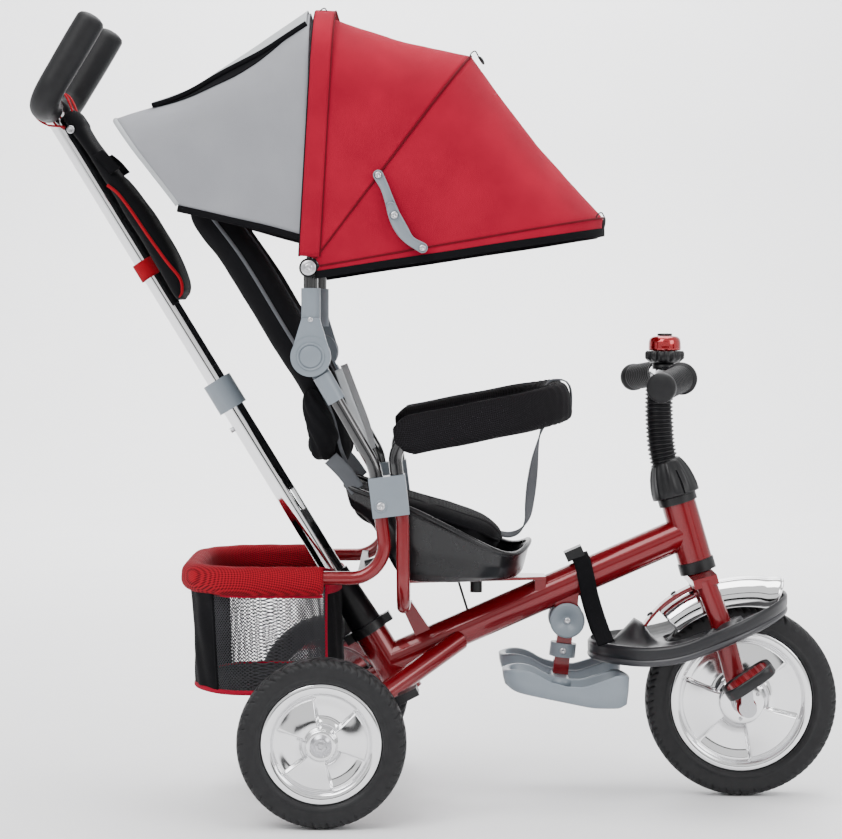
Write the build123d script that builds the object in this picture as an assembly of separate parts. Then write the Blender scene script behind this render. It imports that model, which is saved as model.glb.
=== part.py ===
from build123d import *
import os
from math import atan2, cos, degrees, hypot, radians, sin

# Children's push tricycle. Millimetres, +X towards the front wheel, +Z up, ground at Z = 0.
# Left and right are the rider's, so left is the +Y side.

# ---- overall sizes ----
front_wheel_radius = 125.0
rear_wheel_radius = 105.0
rear_axle_x = -148.0
wheel_base = 540.0
rear_track = 440.0
post_y = 150.0                 # sideways place of the seat, guard and canopy tubes

# ---- clearances ----
gap = 0.3                      # between neighbouring pieces
running = 0.08                 # radial, shafts in their bores
wall = 1.6                     # steel tube wall

# ---- wheels ----
tyre_width = 45.0
front_tyre_height = 32.0
rear_tyre_height = 30.0
rim_width = 34.0
rim_ring_front = 14.0          # radial height of the painted rim ring
rim_ring_rear = 16.0
hub_radius = 15.0
cover_thickness = 3.0
window_span = 52.0             # degrees, each opening of a wheel cover
front_window = 11.0            # degrees above +X, the middle of one opening
rear_window = 71.0
axle_radius = 6.0
nut_radius = 9.0
front_hub_disc_radius = 28.5
rear_hub_disc_radius = 19.5

# ---- main frame ----
head_rake = 16.4               # degrees back from upright
head_bottom = (332.0, 308.0)   # X, Z of the lower end of the head tube
head_length = 78.0
head_radius = 22.5
steerer_radius = 14.0
main_tube_radius = 21.5
main_tube_front = (319.0, 345.0)
main_tube_rear = (-66.0, 176.2)
stay_radius = 13.5
stay_front = (24.0, 16.0, 205.0)
stay_end_y = 162.0
carrier_radius = 13.0
carrier_y = (148.0, 194.0)

# ---- push rod ----
rod_foot = (-54.0, 151.5)      # X, Z on the rod's axis
rod_slope = 58.66              # degrees above level, rising to the rear
socket_radius = 21.5
socket_length = 72.0
lower_rod_radius = 14.3
upper_rod_radius = 12.7
lower_rod_length = 440.0
rod_overlap = 130.0
rod_length = 866.0             # from the foot to the handle's cross bar
clip_length = 42.0
handle_y = 105.0
handle_tube_radius = 11.0
handle_grip_radius = 15.0
handle_reach = 122.0
handle_angle = 59.0            # degrees, the grips' rise to the front

# ---- seat ----
seat_tube_radius = 8.5
clamp_tilt = 7.0               # degrees, tops lean to the rear
clamp_size = (46.0, 32.0, 50.0)
clamp_place = (-66.0, 403.0)
clamp_spread = 26.0            # between the two tube axes in a clamp
rail_z = 300.0
rail_rear_x = -318.0
post_foot = (-48.0, 259.0)
plate_z = 284.0
plate_thickness = 4.0
plate_x = (-50.0, 136.0)
plate_half_widths = (64.0, 20.0)
shell_half_width = 122.0
shell_wall = 4.0
cushion_half_width = 108.0
guard_front = (150.0, 516.0)
guard_rise = 70.0              # from the clamp's middle to the guard's rear bend
guard_half_width = 138.0
pad_size = (15.0, 24.0)        # half thickness and half height

# ---- basket ----
basket_front_x = -118.0
basket_rear_x = -318.0
basket_half_width = 150.0
basket_bottom_z = 150.0
basket_rim_radius = 13.5
basket_corner = 92.0
basket_wall = 3.0

# ---- canopy ----
hinge = (-163.0, 577.0)
hinge_radius = 25.0
hinge_pin_radius = 5.0
canopy_post_radius = 9.0
pivot = (-164.8, 687.0)
bow_rod_radius = 3.0
rear_bow = (88.0, 317.0, 150.0)    # degrees above level, reach, half width
mid_bow = (52.9, 331.0, 160.5)
front_bow = (9.8, 371.0, 167.6)
bow_corner = 105.0
fabric_y = 172.0
fabric_thickness = 2.0
stay_reach = 142.8             # the folding stay's ends, from the pivot
stay_elbow_reach = 123.9
stay_y = 178.0
stay_thickness = 3.0
curtain_top = (-414.0, 876.0)
curtain_low = (-331.0, 766.0)
curtain_half_width = 128.0

# ---- steering ----
fork_y = 65.0
fork_radius = 13.5
fork_points = [(338.0, 288.0), (358.0, 235.0), (383.0, 141.0)]
crank_length = 43.0
pedal_size = (68.0, 64.0, 17.0)
pedal_tilt = 34.0
pedal_y = 123.0
fender_radius = 160.0
fender_wall = 2.0
fender_half_width = 33.0
bar_centre = (285.0, 551.0)
bar_half_width = 214.0
bar_radius = 11.0
grip_radius = 16.0
grip_length = 92.0
bell_y = -34.0

# ---- foot ring ----
ring_centre_x = 322.0
ring_half = (130.0, 118.0)
ring_slot = 42.0
ring_low = [(188.0, 184.0), (262.0, 184.0), (301.0, 190.0), (330.0, 200.0), (452.0, 246.0)]
ring_height = 27.0
ring_deck = 4.0
ring_rim = 9.0

# ---- footrest ----
step_pivot = (164.0, 231.0)
step_post_half = 10.5
step_ear = 4.0
step_tray_y = (38.0, 112.0)
step_wall = 3.5
step_bar = (155.0, 152.0)

front_axle_x = rear_axle_x + wheel_base
rear_wheel_y = rear_track / 2


def save(name, shape):
    """Write one named piece."""
    export_step(shape, f"parts/{name}.step")


def p3(point, y=0.0):
    """An (X, Z) pair as a point at the given Y."""
    return (point[0], y, point[1])


def along(start, angle, distance):
    """The (X, Z) pair at a distance from start, at an angle above +X."""
    return (start[0] + distance * cos(radians(angle)), start[1] + distance * sin(radians(angle)))


def rod(a, b, radius):
    """A round bar from point a to point b."""
    a, b = Vector(*a), Vector(*b)
    return Plane(a, z_dir=b - a) * Cylinder(
        radius, (b - a).length, align=(Align.CENTER, Align.CENTER, Align.MIN))


def pipe(a, b, radius, bore):
    """A straight tube, open at both ends."""
    return rod(a, b, radius) - rod(a, b, bore)


def bent(points, bends, radius, bore=0.0):
    """A round tube through the points, with one bend radius for each inner point."""
    path = FilletPolyline(*points, radius=bends)
    start = Plane(path @ 0, z_dir=path % 0)
    body = sweep(start * Circle(radius), path=path)
    if bore > 0:
        body -= sweep(start * Circle(bore), path=path)
    return body


def disc(centre, y0, y1, radius):
    """A round plate standing across Y."""
    return rod(p3(centre, y0), p3(centre, y1), radius)


def slab(outline, y0, y1):
    """A plate with an (X, Z) outline between two Y values."""
    face = make_face(Polyline(*[p3(q, y0) for q in outline], close=True))
    return extrude(face, amount=y1 - y0, dir=(0, 1, 0))


def block(low, high):
    """An upright box from its low corner to its high corner."""
    size = [h - l for l, h in zip(low, high)]
    return Pos(*low) * Box(*size, align=(Align.MIN, Align.MIN, Align.MIN))


def both(shape):
    """The shape and its mirror image across the middle plane."""
    return Compound([*shape.solids(), *mirror(shape, about=Plane.XZ).solids()])


def group(*shapes):
    """Separate solids kept as one named piece."""
    return Compound([s for shape in shapes for s in shape.solids()])


def ring_turned(profile, centre, y=0.0, arc=360.0, start=0.0):
    """Turn an outline of (radius, Y) pairs about the wheel axis at centre."""
    outline = [(centre[0] + r, y + v, centre[1]) for r, v in profile]
    face = make_face(Polyline(*outline, close=True))
    axis = Axis(p3(centre), (0, -1, 0))
    return revolve(face.rotate(axis, start), axis=axis, revolution_arc=arc)


# ---------------------------------------------------------------- wheels

def tyre(centre, radius, height, y):
    """A foam tyre with rounded shoulders and a flat tread."""
    half = tyre_width / 2
    bead = rim_width / 2
    low = radius - height
    profile = [(low, -bead), (low + 6, -half + 1.5), (radius - 9, -half), (radius - 2.5, -half + 6),
               (radius, -half + 13), (radius, half - 13), (radius - 2.5, half - 6),
               (radius - 9, half), (low + 6, half - 1.5), (low, bead)]
    return ring_turned(profile, centre, y)


def rim(centre, outer, ring, y, bore):
    """The rim ring, its thin web and the hub tube, moulded in one."""
    half = rim_width / 2
    inner = outer - ring
    profile = [(bore, -half), (hub_radius, -half), (hub_radius, -2), (inner, -2), (inner, -half),
               (outer - gap, -half), (outer - gap, half), (inner, half), (inner, 2),
               (hub_radius, 2), (hub_radius, half), (bore, half)]
    return ring_turned(profile, centre, y)


def window(centre, radius, y, middle):
    """One of the three openings between a cover's wide spokes, over the rim's web."""
    half = window_span / 2
    reach = radius - 5
    near, far = hub_radius + 16, reach
    corners = [along(centre, middle - half * 0.8, near), along(centre, middle - half, far * 0.97),
               along(centre, middle, far), along(centre, middle + half, far * 0.97),
               along(centre, middle + half * 0.8, near)]
    return slab(corners, y - tyre_width, y + tyre_width)


def cover(centre, rim_inner, hub_disc, y, side, bore, first_window):
    """The chromed dish on one face of a wheel, with its hub disc."""
    face = rim_width / 2
    t = cover_thickness
    profile = [(bore, face + gap), (hub_radius + gap, face + gap), (rim_inner - 10, face - 9),
               (rim_inner - gap, face - 7), (rim_inner - gap, face - 7 + t),
               (rim_inner - 12, face - 9 + t), (hub_disc + 2, face + gap + t),
               (hub_disc, face + 6.0), (bore, face + 6.0)]
    body = ring_turned([(r, side * v) for r, v in profile], centre, y)
    for turn in range(3):
        body -= window(centre, rim_inner, y, first_window + 120 * turn)
    return body


def make_wheels():
    front = (front_axle_x, front_wheel_radius)
    rear = (rear_axle_x, rear_wheel_radius)
    front_rim = front_wheel_radius - front_tyre_height
    rear_rim = rear_wheel_radius - rear_tyre_height
    save("front_tyre", tyre(front, front_wheel_radius, front_tyre_height, 0))
    save("front_rim", rim(front, front_rim, rim_ring_front, 0, axle_radius + gap))
    save("front_wheel_covers", group(*[
        cover(front, front_rim - rim_ring_front, front_hub_disc_radius, 0, side, axle_radius + gap,
              front_window)
        for side in (-1, 1)]))
    for name, side in (("left", 1), ("right", -1)):
        y = side * rear_wheel_y
        save(f"rear_tyre_{name}", tyre(rear, rear_wheel_radius, rear_tyre_height, y))
        save(f"rear_rim_{name}", rim(rear, rear_rim, rim_ring_rear, y, axle_radius + running))
        save(f"rear_wheel_cover_{name}", cover(
            rear, rear_rim - rim_ring_rear, rear_hub_disc_radius, y, side, axle_radius + running,
            rear_window))
    nut_y = rear_wheel_y + rim_width / 2 + 6.0 + gap
    axle = disc(rear, -nut_y - 5, nut_y + 5, axle_radius)
    for side in (-1, 1):
        axle += rod(p3(rear, side * nut_y), p3(rear, side * (nut_y + 8)), nut_radius)
    save("rear_axle", axle)


# ---------------------------------------------------------------- main frame

head_up = Vector(-sin(radians(head_rake)), 0, cos(radians(head_rake)))


def on_head(s, y=0.0):
    """A point on the steering axis, s above the head tube's lower end."""
    return Vector(*p3(head_bottom, y)) + head_up * s


def on_rod(s, side=0.0, y=0.0):
    """A point on the push rod's axis, s from its foot and side towards the front."""
    a = radians(rod_slope)
    return Vector(rod_foot[0] - s * cos(a) + side * sin(a), y,
                  rod_foot[1] + s * sin(a) + side * cos(a))


def stay_line():
    return stay_front, (rear_axle_x + 4, stay_end_y, rear_wheel_radius)


def make_frame():
    socket_outer = rod(on_rod(-20), on_rod(socket_length), socket_radius)
    main = rod(p3(main_tube_front), p3(main_tube_rear), main_tube_radius)
    head = rod(on_head(0), on_head(head_length), head_radius)
    bore = rod(on_head(-1), on_head(head_length + 1), steerer_radius + 3)
    hollow = rod(p3(main_tube_front), p3(main_tube_rear), main_tube_radius - wall)
    frame_tube = main - hollow + head - bore - socket_outer
    save("frame_tube", frame_tube)

    front, rear = stay_line()
    axle = p3((rear_axle_x, rear_wheel_radius))
    stay = rod(front, rear, stay_radius)
    carrier = rod((axle[0], carrier_y[0], axle[2]), (axle[0], carrier_y[1], axle[2]), carrier_radius)
    stay = stay - rod(front, rear, stay_radius - wall) + carrier
    stay -= rod((axle[0], 0, axle[2]), (axle[0], 220, axle[2]), axle_radius + running)
    stay -= main + socket_outer
    socket = socket_outer - rod(on_rod(-12), on_rod(socket_length + 1), lower_rod_radius + gap)
    save("rear_stays", group(both(stay.solids().sort_by(SortBy.VOLUME)[-1]), socket))

    # Ears for the footrest, the brace under the seat tubes, and the seat plate.
    ear_outline = [(step_pivot[0] - 16, 268), (step_pivot[0] + 16, 280), (step_pivot[0] + 13, 222),
                   (step_pivot[0] + 6, 215), (step_pivot[0] - 6, 215), (step_pivot[0] - 13, 222)]
    ear_y = step_post_half + gap
    ear = slab(ear_outline, ear_y, ear_y + step_ear) - main
    ear -= disc(step_pivot, 0, 40, hinge_pin_radius + running)
    brace = slab([(-52, 250), (-38, 254), (-2, 200), (-26, 194)], -12, 12)
    foot = rod((post_foot[0], -40, post_foot[1]), (post_foot[0], 40, post_foot[1]), seat_tube_radius)
    brace = (brace - main - foot).solids().sort_by(SortBy.VOLUME)[-1]

    x0, x1 = plate_x
    rear_half, front_half = plate_half_widths
    top = plate_z + plate_thickness
    plan = Polyline((x0, -rear_half, plate_z), (x1, -front_half, plate_z), (x1, front_half, plate_z),
                    (x0, rear_half, plate_z), close=True)
    plate = extrude(make_face(plan), amount=plate_thickness, dir=(0, 0, 1))
    plate += block((x0, -rear_half, 255), (x0 + plate_thickness, rear_half, top))
    plate += block((x1 - 14, -front_half, 270), (x1, front_half, plate_z))
    plate -= main + rod((post_foot[0], -90, post_foot[1]), (post_foot[0], 90, post_foot[1]),
                        seat_tube_radius)
    knob_x = 46.0
    plate -= Pos(knob_x, 0, top) * Cylinder(3.2, 30)
    plate = plate.solids().sort_by(SortBy.VOLUME)[-1]
    save("frame_brackets", group(both(ear), brace, plate))

    knob = Pos(knob_x, 0, plate_z - gap - 9) * Cylinder(8, 18)
    knob += Pos(knob_x, 0, plate_z) * Cylinder(3, 2 * plate_thickness)
    wire = rod((22, 0, plate_z - 0.8), (36, 0, 238), 1.6) - main
    cross, cross_knob = rod_bracket()
    save("seat_hardware", group(knob, wire.solids().sort_by(SortBy.VOLUME)[-1], cross, cross_knob))

    cap_low = rod(on_head(-gap), on_head(-15), head_radius + 1.5)
    cap_high = rod(on_head(head_length + gap), on_head(head_length + 10), head_radius + 3)
    race = rod(on_head(-20), on_head(head_length + 20), steerer_radius + running)
    save("frame_collars", group(cap_low - race, cap_high - race, *rod_collars()))


# ---------------------------------------------------------------- seat

clamp_up = Vector(-sin(radians(clamp_tilt)), 0, cos(radians(clamp_tilt)))
clamp_along = Vector(cos(radians(clamp_tilt)), 0, sin(radians(clamp_tilt)))


def in_clamp(side, s, y=-post_y):
    """A point on one of a clamp's two bores: side -1 rear or 1 front, s above its middle."""
    return Vector(*p3(clamp_place, y)) + clamp_along * (side * clamp_spread / 2) + clamp_up * s


def clamp_blank(y):
    frame = Plane(Vector(*p3(clamp_place, y)), x_dir=clamp_along, z_dir=clamp_up)
    return frame * Box(*clamp_size)


def make_seat():
    bore = seat_tube_radius + gap
    clamp = clamp_blank(-post_y)
    for side in (-1, 1):
        clamp -= rod(in_clamp(side, -60), in_clamp(side, 60), bore)
    save("post_clamps", both(clamp))

    drop = (rail_z - in_clamp(-1, 0).Z) / clamp_up.Z
    rail = [in_clamp(-1, -2), in_clamp(-1, drop), (rail_rear_x, -post_y, rail_z),
            (rail_rear_x, post_y, rail_z), in_clamp(-1, drop, post_y), in_clamp(-1, -2, post_y)]
    hoop = bent(rail, [42, basket_corner, basket_corner, 42], seat_tube_radius,
                seat_tube_radius - wall)
    post = [in_clamp(1, -2), in_clamp(1, -34), p3(post_foot, -post_y), p3(post_foot, post_y),
            in_clamp(1, -34, post_y), in_clamp(1, -2, post_y)]
    posts = bent(post, [60, 46, 46, 60], seat_tube_radius, seat_tube_radius - wall)
    save("seat_tubes", group(hoop, posts))

    side = [(-46, 288.3), (112, 288.3), (128, 296), (131, 304), (106, 325), (-48, 394), (-125, 407),
            (-122, 381), (-85, 346)]
    inner = [(-40, 292.3), (108, 292.3), (123, 299), (140, 330), (-30, 430), (-118, 430),
             (-118, 384), (-80, 345)]
    shell = slab(side, -shell_half_width, shell_half_width)
    shell -= slab(inner, shell_wall - shell_half_width, shell_half_width - shell_wall)
    save("seat_shell", shell)

    pad = [(-38, 292.6), (96, 292.6), (100, 330), (88, 352), (17, 378), (-29, 391), (-104, 404),
           (-116, 398), (-117, 384.5), (-79, 345.4)]
    save("seat_cushion", slab(pad, -cushion_half_width, cushion_half_width))

    corner = in_clamp(1, guard_rise)
    guard_rear = (corner.X, corner.Z)
    guard = [in_clamp(1, gap), corner, p3(guard_front, -guard_half_width),
             p3(guard_front, guard_half_width), in_clamp(1, guard_rise, post_y),
             in_clamp(1, gap, post_y)]
    guard_tube = bent(guard, [34, 96, 96, 34], seat_tube_radius, seat_tube_radius - wall)
    save("guard_tube", guard_tube)

    rise = degrees(atan2(guard_front[1] - guard_rear[1], guard_front[0] - guard_rear[0]))
    share = 42 / (guard_front[0] - guard_rear[0])
    start = along(guard_rear, rise, 42)
    start_y = post_y - share * (post_y - guard_half_width)
    pad_path = FilletPolyline(p3(start, -start_y), p3(guard_front, -guard_half_width),
                              p3(guard_front, guard_half_width), p3(start, start_y),
                              radius=[96, 96])
    frame = Plane(pad_path @ 0, x_dir=(0, 1, 0), z_dir=pad_path % 0)
    outline = RectangleRounded(2 * pad_size[0], 2 * pad_size[1], pad_size[0] - 1)
    pad_solid = sweep(frame * outline, path=pad_path)
    pad_solid -= sweep(frame * Circle(seat_tube_radius + gap), path=pad_path)
    save("guard_pad", pad_solid)


def make_backrest():
    """The padded back between the canopy posts, leaning back, with its gathered lower roll."""
    lean = 117.0
    foot = (-160.0, 452.0)
    thick, length, half = 26.0, 352.0, 116.0
    top = along(foot, lean, length)
    normal = lean - 90
    outline = [along(foot, normal, -thick / 2), along(foot, normal, thick / 2),
               along(top, normal, thick / 2), along(top, normal, -thick / 2)]
    back = slab(outline, -half, half)
    roll = rod(p3(foot, -half), p3(foot, half), 27)
    flap = slab([(-178, 440), (-124, 407.4), (-112, 405.4), (-140, 462)], -half, half)
    save("backrest", back + roll + flap)


# ---------------------------------------------------------------- basket

def basket_plan(z, inset):
    """The basket's closed outline at height z, drawn in by inset."""
    x0, x1 = basket_rear_x + inset, basket_front_x - inset
    half = basket_half_width - inset
    length, width = x1 - x0, 2 * half
    return Pos((x0 + x1) / 2, 0, z) * RectangleRounded(length, width, basket_corner - inset)


def make_basket():
    rim_low = rail_z - basket_rim_radius - gap
    floor = basket_plan(basket_bottom_z, 26)
    mouth = basket_plan(rim_low, 4)
    bag = loft([floor, mouth])
    inner = loft([basket_plan(basket_bottom_z + basket_wall, 26 + basket_wall),
                  basket_plan(rim_low + 1, 4 + basket_wall)])
    notch = block((basket_front_x - 60, -26, 100), (basket_front_x + 20, 26, rail_z))
    wide_notch = block((basket_front_x - 60 - basket_wall, -26 - basket_wall, 100),
                       (basket_front_x + 20, 26 + basket_wall, rail_z))
    save("basket_bag", bag - notch - (inner - wide_notch))

    def band(radius):
        x0, x1 = basket_rear_x, basket_front_x
        half, corner = basket_half_width, basket_corner
        path = FilletPolyline((x1, -half, rail_z), (x0, -half, rail_z), (x0, half, rail_z),
                              (x1, half, rail_z), radius=[corner, corner])
        sleeve = sweep(Plane(path @ 0, z_dir=path % 0) * Circle(radius), path=path)
        return sleeve
    rim_band = band(basket_rim_radius) - band(seat_tube_radius + gap)
    clear = rod(on_rod(120), on_rod(260), socket_radius + 2)
    bridge = Pos(basket_front_x + 4 + gap, 0, rail_z) * Box(8, 2 * basket_half_width - 40, 20)
    bridge = bridge - clear
    save("basket_rim", group(rim_band, bridge))


# ---------------------------------------------------------------- push rod

def rod_collars():
    """The bolted collar on the rod socket and the tapered sleeve above it."""
    a = radians(rod_slope)
    collar = rod(on_rod(socket_length + gap), on_rod(socket_length + 13), socket_radius + 3)
    for side in (-1, 1):
        spot = on_rod(socket_length + 6.5, side * (socket_radius + 6))
        collar += Plane(spot, x_dir=(sin(a), 0, cos(a)), z_dir=(-cos(a), 0, sin(a))) * Box(13, 16, 12)
    collar -= rod(on_rod(0), on_rod(socket_length + 40), lower_rod_radius + running)
    sleeve = Plane(on_rod(socket_length + 13 + gap), z_dir=on_rod(1) - on_rod(0)) * Cone(
        socket_radius, lower_rod_radius + 4, 78, align=(Align.CENTER, Align.CENTER, Align.MIN))
    sleeve -= rod(on_rod(0), on_rod(socket_length + 120), lower_rod_radius + running)
    return collar, sleeve


def make_push_rod():
    lower = pipe(on_rod(-10), on_rod(lower_rod_length), lower_rod_radius, upper_rod_radius + running)
    button_s = lower_rod_length - 48
    hole = rod(on_rod(button_s, 0), on_rod(button_s, -40), 3.6)
    save("rod_lower_tube", lower - hole)

    clip = rod(on_rod(lower_rod_length - clip_length + 18), on_rod(lower_rod_length + 18), 19.5)
    clip -= rod(on_rod(0), on_rod(lower_rod_length + gap), lower_rod_radius + running)
    clip -= rod(on_rod(0), on_rod(rod_length), upper_rod_radius + gap)
    save("rod_clip", clip)

    upper = pipe(on_rod(lower_rod_length - rod_overlap), on_rod(rod_length),
                 upper_rod_radius, upper_rod_radius - wall)
    for step in range(4):
        s = button_s + 32 * step
        upper -= rod(on_rod(s, 0), on_rod(s, -40), 3.8)
    base = on_rod(rod_length)
    centre = (base.X, base.Z)
    tip = along(centre, handle_angle, handle_reach)
    bar = [p3(tip, -handle_y), p3(centre, -handle_y), p3(centre, handle_y), p3(tip, handle_y)]
    bar_tube = bent(bar, [42, 42], handle_tube_radius, handle_tube_radius - wall)
    bar_solid = bent(bar, [42, 42], handle_tube_radius)
    save("rod_upper_tube", upper - bar_solid + bar_tube)

    end = along(tip, handle_angle, 3)
    half = [p3(end, -handle_y), p3(centre, -handle_y), p3(centre, -38)]
    grip = bent(half, [42], handle_grip_radius) - bent(bar, [42, 42], handle_tube_radius + running)
    save("handle_grips", both(grip))

    button = rod(on_rod(button_s, -upper_rod_radius - gap), on_rod(button_s, -lower_rod_radius - 4.5),
                 3.3)
    save("rod_button", button)

    outline = [on_rod(s, side) for s, side in (
        (805, 13), (812, 34), (750, 40), (690, 50), (600, 46), (560, 32), (552, 13))]
    bag = slab([(v.X, v.Z) for v in outline], -62, 62)
    save("handle_bag", bag)


# ---------------------------------------------------------------- canopy

def bow_plane(angle):
    """A plane through the pivot axis: local X outward along the bow, local Y along Y."""
    a = radians(angle)
    return Plane(p3(pivot), x_dir=(cos(a), 0, sin(a)), z_dir=(sin(a), 0, -cos(a)))


def bow(angle, reach, half, radius, start):
    plane = bow_plane(angle)
    local = [(start, -half), (reach, -half), (reach, half), (start, half)]
    points = [plane.from_local_coords(Vector(x, y, 0)) for x, y in local]
    return bent(points, [bow_corner, bow_corner], radius)


def bow_band(plane, start, reach, half, corner):
    """A U-shaped strip of fabric in a plane, as a face."""
    def outline(grow):
        out = reach + grow
        side = half + grow
        turn = corner + grow
        return FilletPolyline((start, -side), (out, -side), (out, side), (start, side),
                              radius=[turn, turn])
    outer, inner = outline(fabric_thickness), outline(0)
    edge = outer.edges() + inner.edges()
    edge += [Line(outer @ 0, inner @ 0).edge(), Line(outer @ 1, inner @ 1).edge()]
    return plane * make_face(edge)


def canopy_panel(first, second):
    """Fabric between two bows."""
    bands = [bow_band(bow_plane(angle), 22, reach + 5, fabric_y, bow_corner + 4)
             for angle, reach in (first, second)]
    return loft(bands, ruled=True)


def stay_points():
    """The folding stay's ends on the two front bows, and its elbow."""
    first = along(pivot, mid_bow[0], stay_reach)
    last = along(pivot, front_bow[0], stay_reach)
    elbow = along(pivot, (mid_bow[0] + front_bow[0]) / 2, stay_elbow_reach)
    return first, elbow, last


def bar_between(a, b, y0, width, bore_a=0.0, bore_b=0.0):
    """A flat link with round ends and optional bores."""
    angle = degrees(atan2(b[1] - a[1], b[0] - a[0]))
    side = width / 2
    corners = [along(a, angle - 90, side), along(b, angle - 90, side), along(b, angle + 90, side),
               along(a, angle + 90, side)]
    y1 = y0 + stay_thickness
    link = slab(corners, y0, y1) + disc(a, y0, y1, side) + disc(b, y0, y1, side)
    if bore_a:
        link -= disc(a, y0 - 1, y1 + 1, bore_a)
    if bore_b:
        link -= disc(b, y0 - 1, y1 + 1, bore_b)
    return link


def make_canopy():
    y_hinge = post_y + gap / 2
    # Lower posts, from the clamps up to the hinges.
    turn = in_clamp(-1, 38, post_y)
    lean = degrees(atan2(hinge[1] - turn.Z, hinge[0] - turn.X))
    top = along(hinge, lean, -32)
    lower = bent([in_clamp(-1, gap, post_y), turn, p3(top, post_y)], [60], seat_tube_radius,
                 seat_tube_radius - wall)
    save("canopy_lower_posts", both(lower))

    inner_y = post_y - 13
    outer_y = post_y + 14
    knuckle = disc(hinge, inner_y, post_y - gap / 2, hinge_radius - 1)
    neck = slab([along(hinge, lean + 90, 11), along(hinge, lean - 90, 11),
                 along(along(hinge, lean, -34), lean - 90, 11),
                 along(along(hinge, lean, -34), lean + 90, 11)], inner_y, post_y - gap / 2)
    socket = rod(p3(along(hinge, lean, -27), post_y), p3(along(hinge, lean, -64), post_y), 12)
    knuckle = knuckle + neck + socket
    knuckle -= rod(p3(top, post_y), p3(along(hinge, lean, -90), post_y), seat_tube_radius + running)
    knuckle -= disc(hinge, y_hinge - gap, outer_y + 5, hinge_radius + gap)
    knuckle += disc(hinge, inner_y, outer_y - 2, hinge_pin_radius)
    save("hinge_lower_halves", both(knuckle))

    # Upper halves: a disc, a tapering arm and a socket round the upper post.
    arm = disc(hinge, y_hinge, outer_y, hinge_radius)
    arm += slab([(hinge[0] - 22, hinge[1] + 12), (hinge[0] + 22, hinge[1] + 12),
                 (hinge[0] + 11, hinge[1] + 48), (hinge[0] - 11, hinge[1] + 48)],
                y_hinge, outer_y - 1)
    arm += rod((hinge[0], post_y, hinge[1] + 34), (hinge[0], post_y, hinge[1] + 85), 12)
    arm -= rod((hinge[0], post_y, hinge[1] + 42), (hinge[0], post_y, hinge[1] + 90),
               canopy_post_radius + running)
    arm -= disc(hinge, y_hinge - 1, outer_y - 2 + gap, hinge_pin_radius + running)
    arm -= disc(hinge, inner_y - 1, y_hinge, hinge_radius + 1)
    save("hinge_upper_halves", both(arm))

    post = pipe((hinge[0], post_y, hinge[1] + 42 + gap), (hinge[0], post_y, pivot[1] + 7),
                canopy_post_radius, canopy_post_radius - wall)
    rear = bow(rear_bow[0], rear_bow[1], rear_bow[2], 4.0, 0)
    plug = disc(pivot, post_y - 5, post_y + canopy_post_radius, canopy_post_radius - 1)
    pin = disc(pivot, post_y, fabric_y + fabric_thickness + gap, 4)
    screw = disc(pivot, fabric_y + fabric_thickness + gap, fabric_y + fabric_thickness + 4, 9)
    side = post + plug + pin + screw
    frame = side + rear + mirror(side, about=Plane.XZ)
    save("canopy_frame", frame)

    for name, values in (("canopy_mid_bow", mid_bow), ("canopy_front_bow", front_bow)):
        angle, reach, half = values
        body = bow(angle, reach, half, bow_rod_radius, 10)
        eye = disc(pivot, half - 1.2, half + 2.6, 12)
        body += eye + mirror(eye, about=Plane.XZ)
        body -= disc(pivot, -200, 200, 4 + running)
        save(name, body)

    first, elbow, last = stay_points()
    pin_hole = [disc(spot, -200, 200, 3.2) for spot in (first, last)]
    rear_panel = canopy_panel((rear_bow[0] - 1.2, rear_bow[1]), (mid_bow[0] + 0.3, mid_bow[1]))
    front_panel = canopy_panel((mid_bow[0] - 0.3, mid_bow[1]), (front_bow[0] - 1.5, front_bow[1]))
    save("canopy_rear_panel", rear_panel - pin_hole[0])
    save("canopy_front_panel", front_panel - pin_hole[0] - pin_hole[1])

    slope = degrees(atan2(curtain_top[1] - curtain_low[1], curtain_top[0] - curtain_low[0]))
    a = radians(slope)
    tail = Plane(p3(curtain_low), x_dir=(cos(a), 0, sin(a)), z_dir=(sin(a), 0, -cos(a)))
    length = hypot(curtain_top[0] - curtain_low[0], curtain_top[1] - curtain_low[1])
    curtain = loft([bow_band(bow_plane(rear_bow[0] + 1.2), 22, rear_bow[1] + 5, fabric_y,
                             bow_corner + 4),
                    bow_band(tail, 0, length, curtain_half_width, 60)], ruled=True)
    save("canopy_curtain", curtain)

    upper = bar_between(first, elbow, stay_y, 13, 0, 2.6 + running)
    upper += disc(first, mid_bow[2] + bow_rod_radius + gap, stay_y + 0.5, 2.6)
    second_y = stay_y + stay_thickness + gap
    lower_link = bar_between(elbow, last, second_y, 13)
    lower_link += disc(elbow, stay_y - 1, second_y + 0.5, 2.6)
    lower_link += disc(last, front_bow[2] + bow_rod_radius + gap, second_y + 0.5, 2.6)
    save("stay_upper_links", both(upper))
    save("stay_lower_links", both(lower_link))


# ---------------------------------------------------------------- steering

def fork_leg(radius, y=fork_y):
    return bent([p3(q, y) for q in fork_points], [60], radius)


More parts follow.
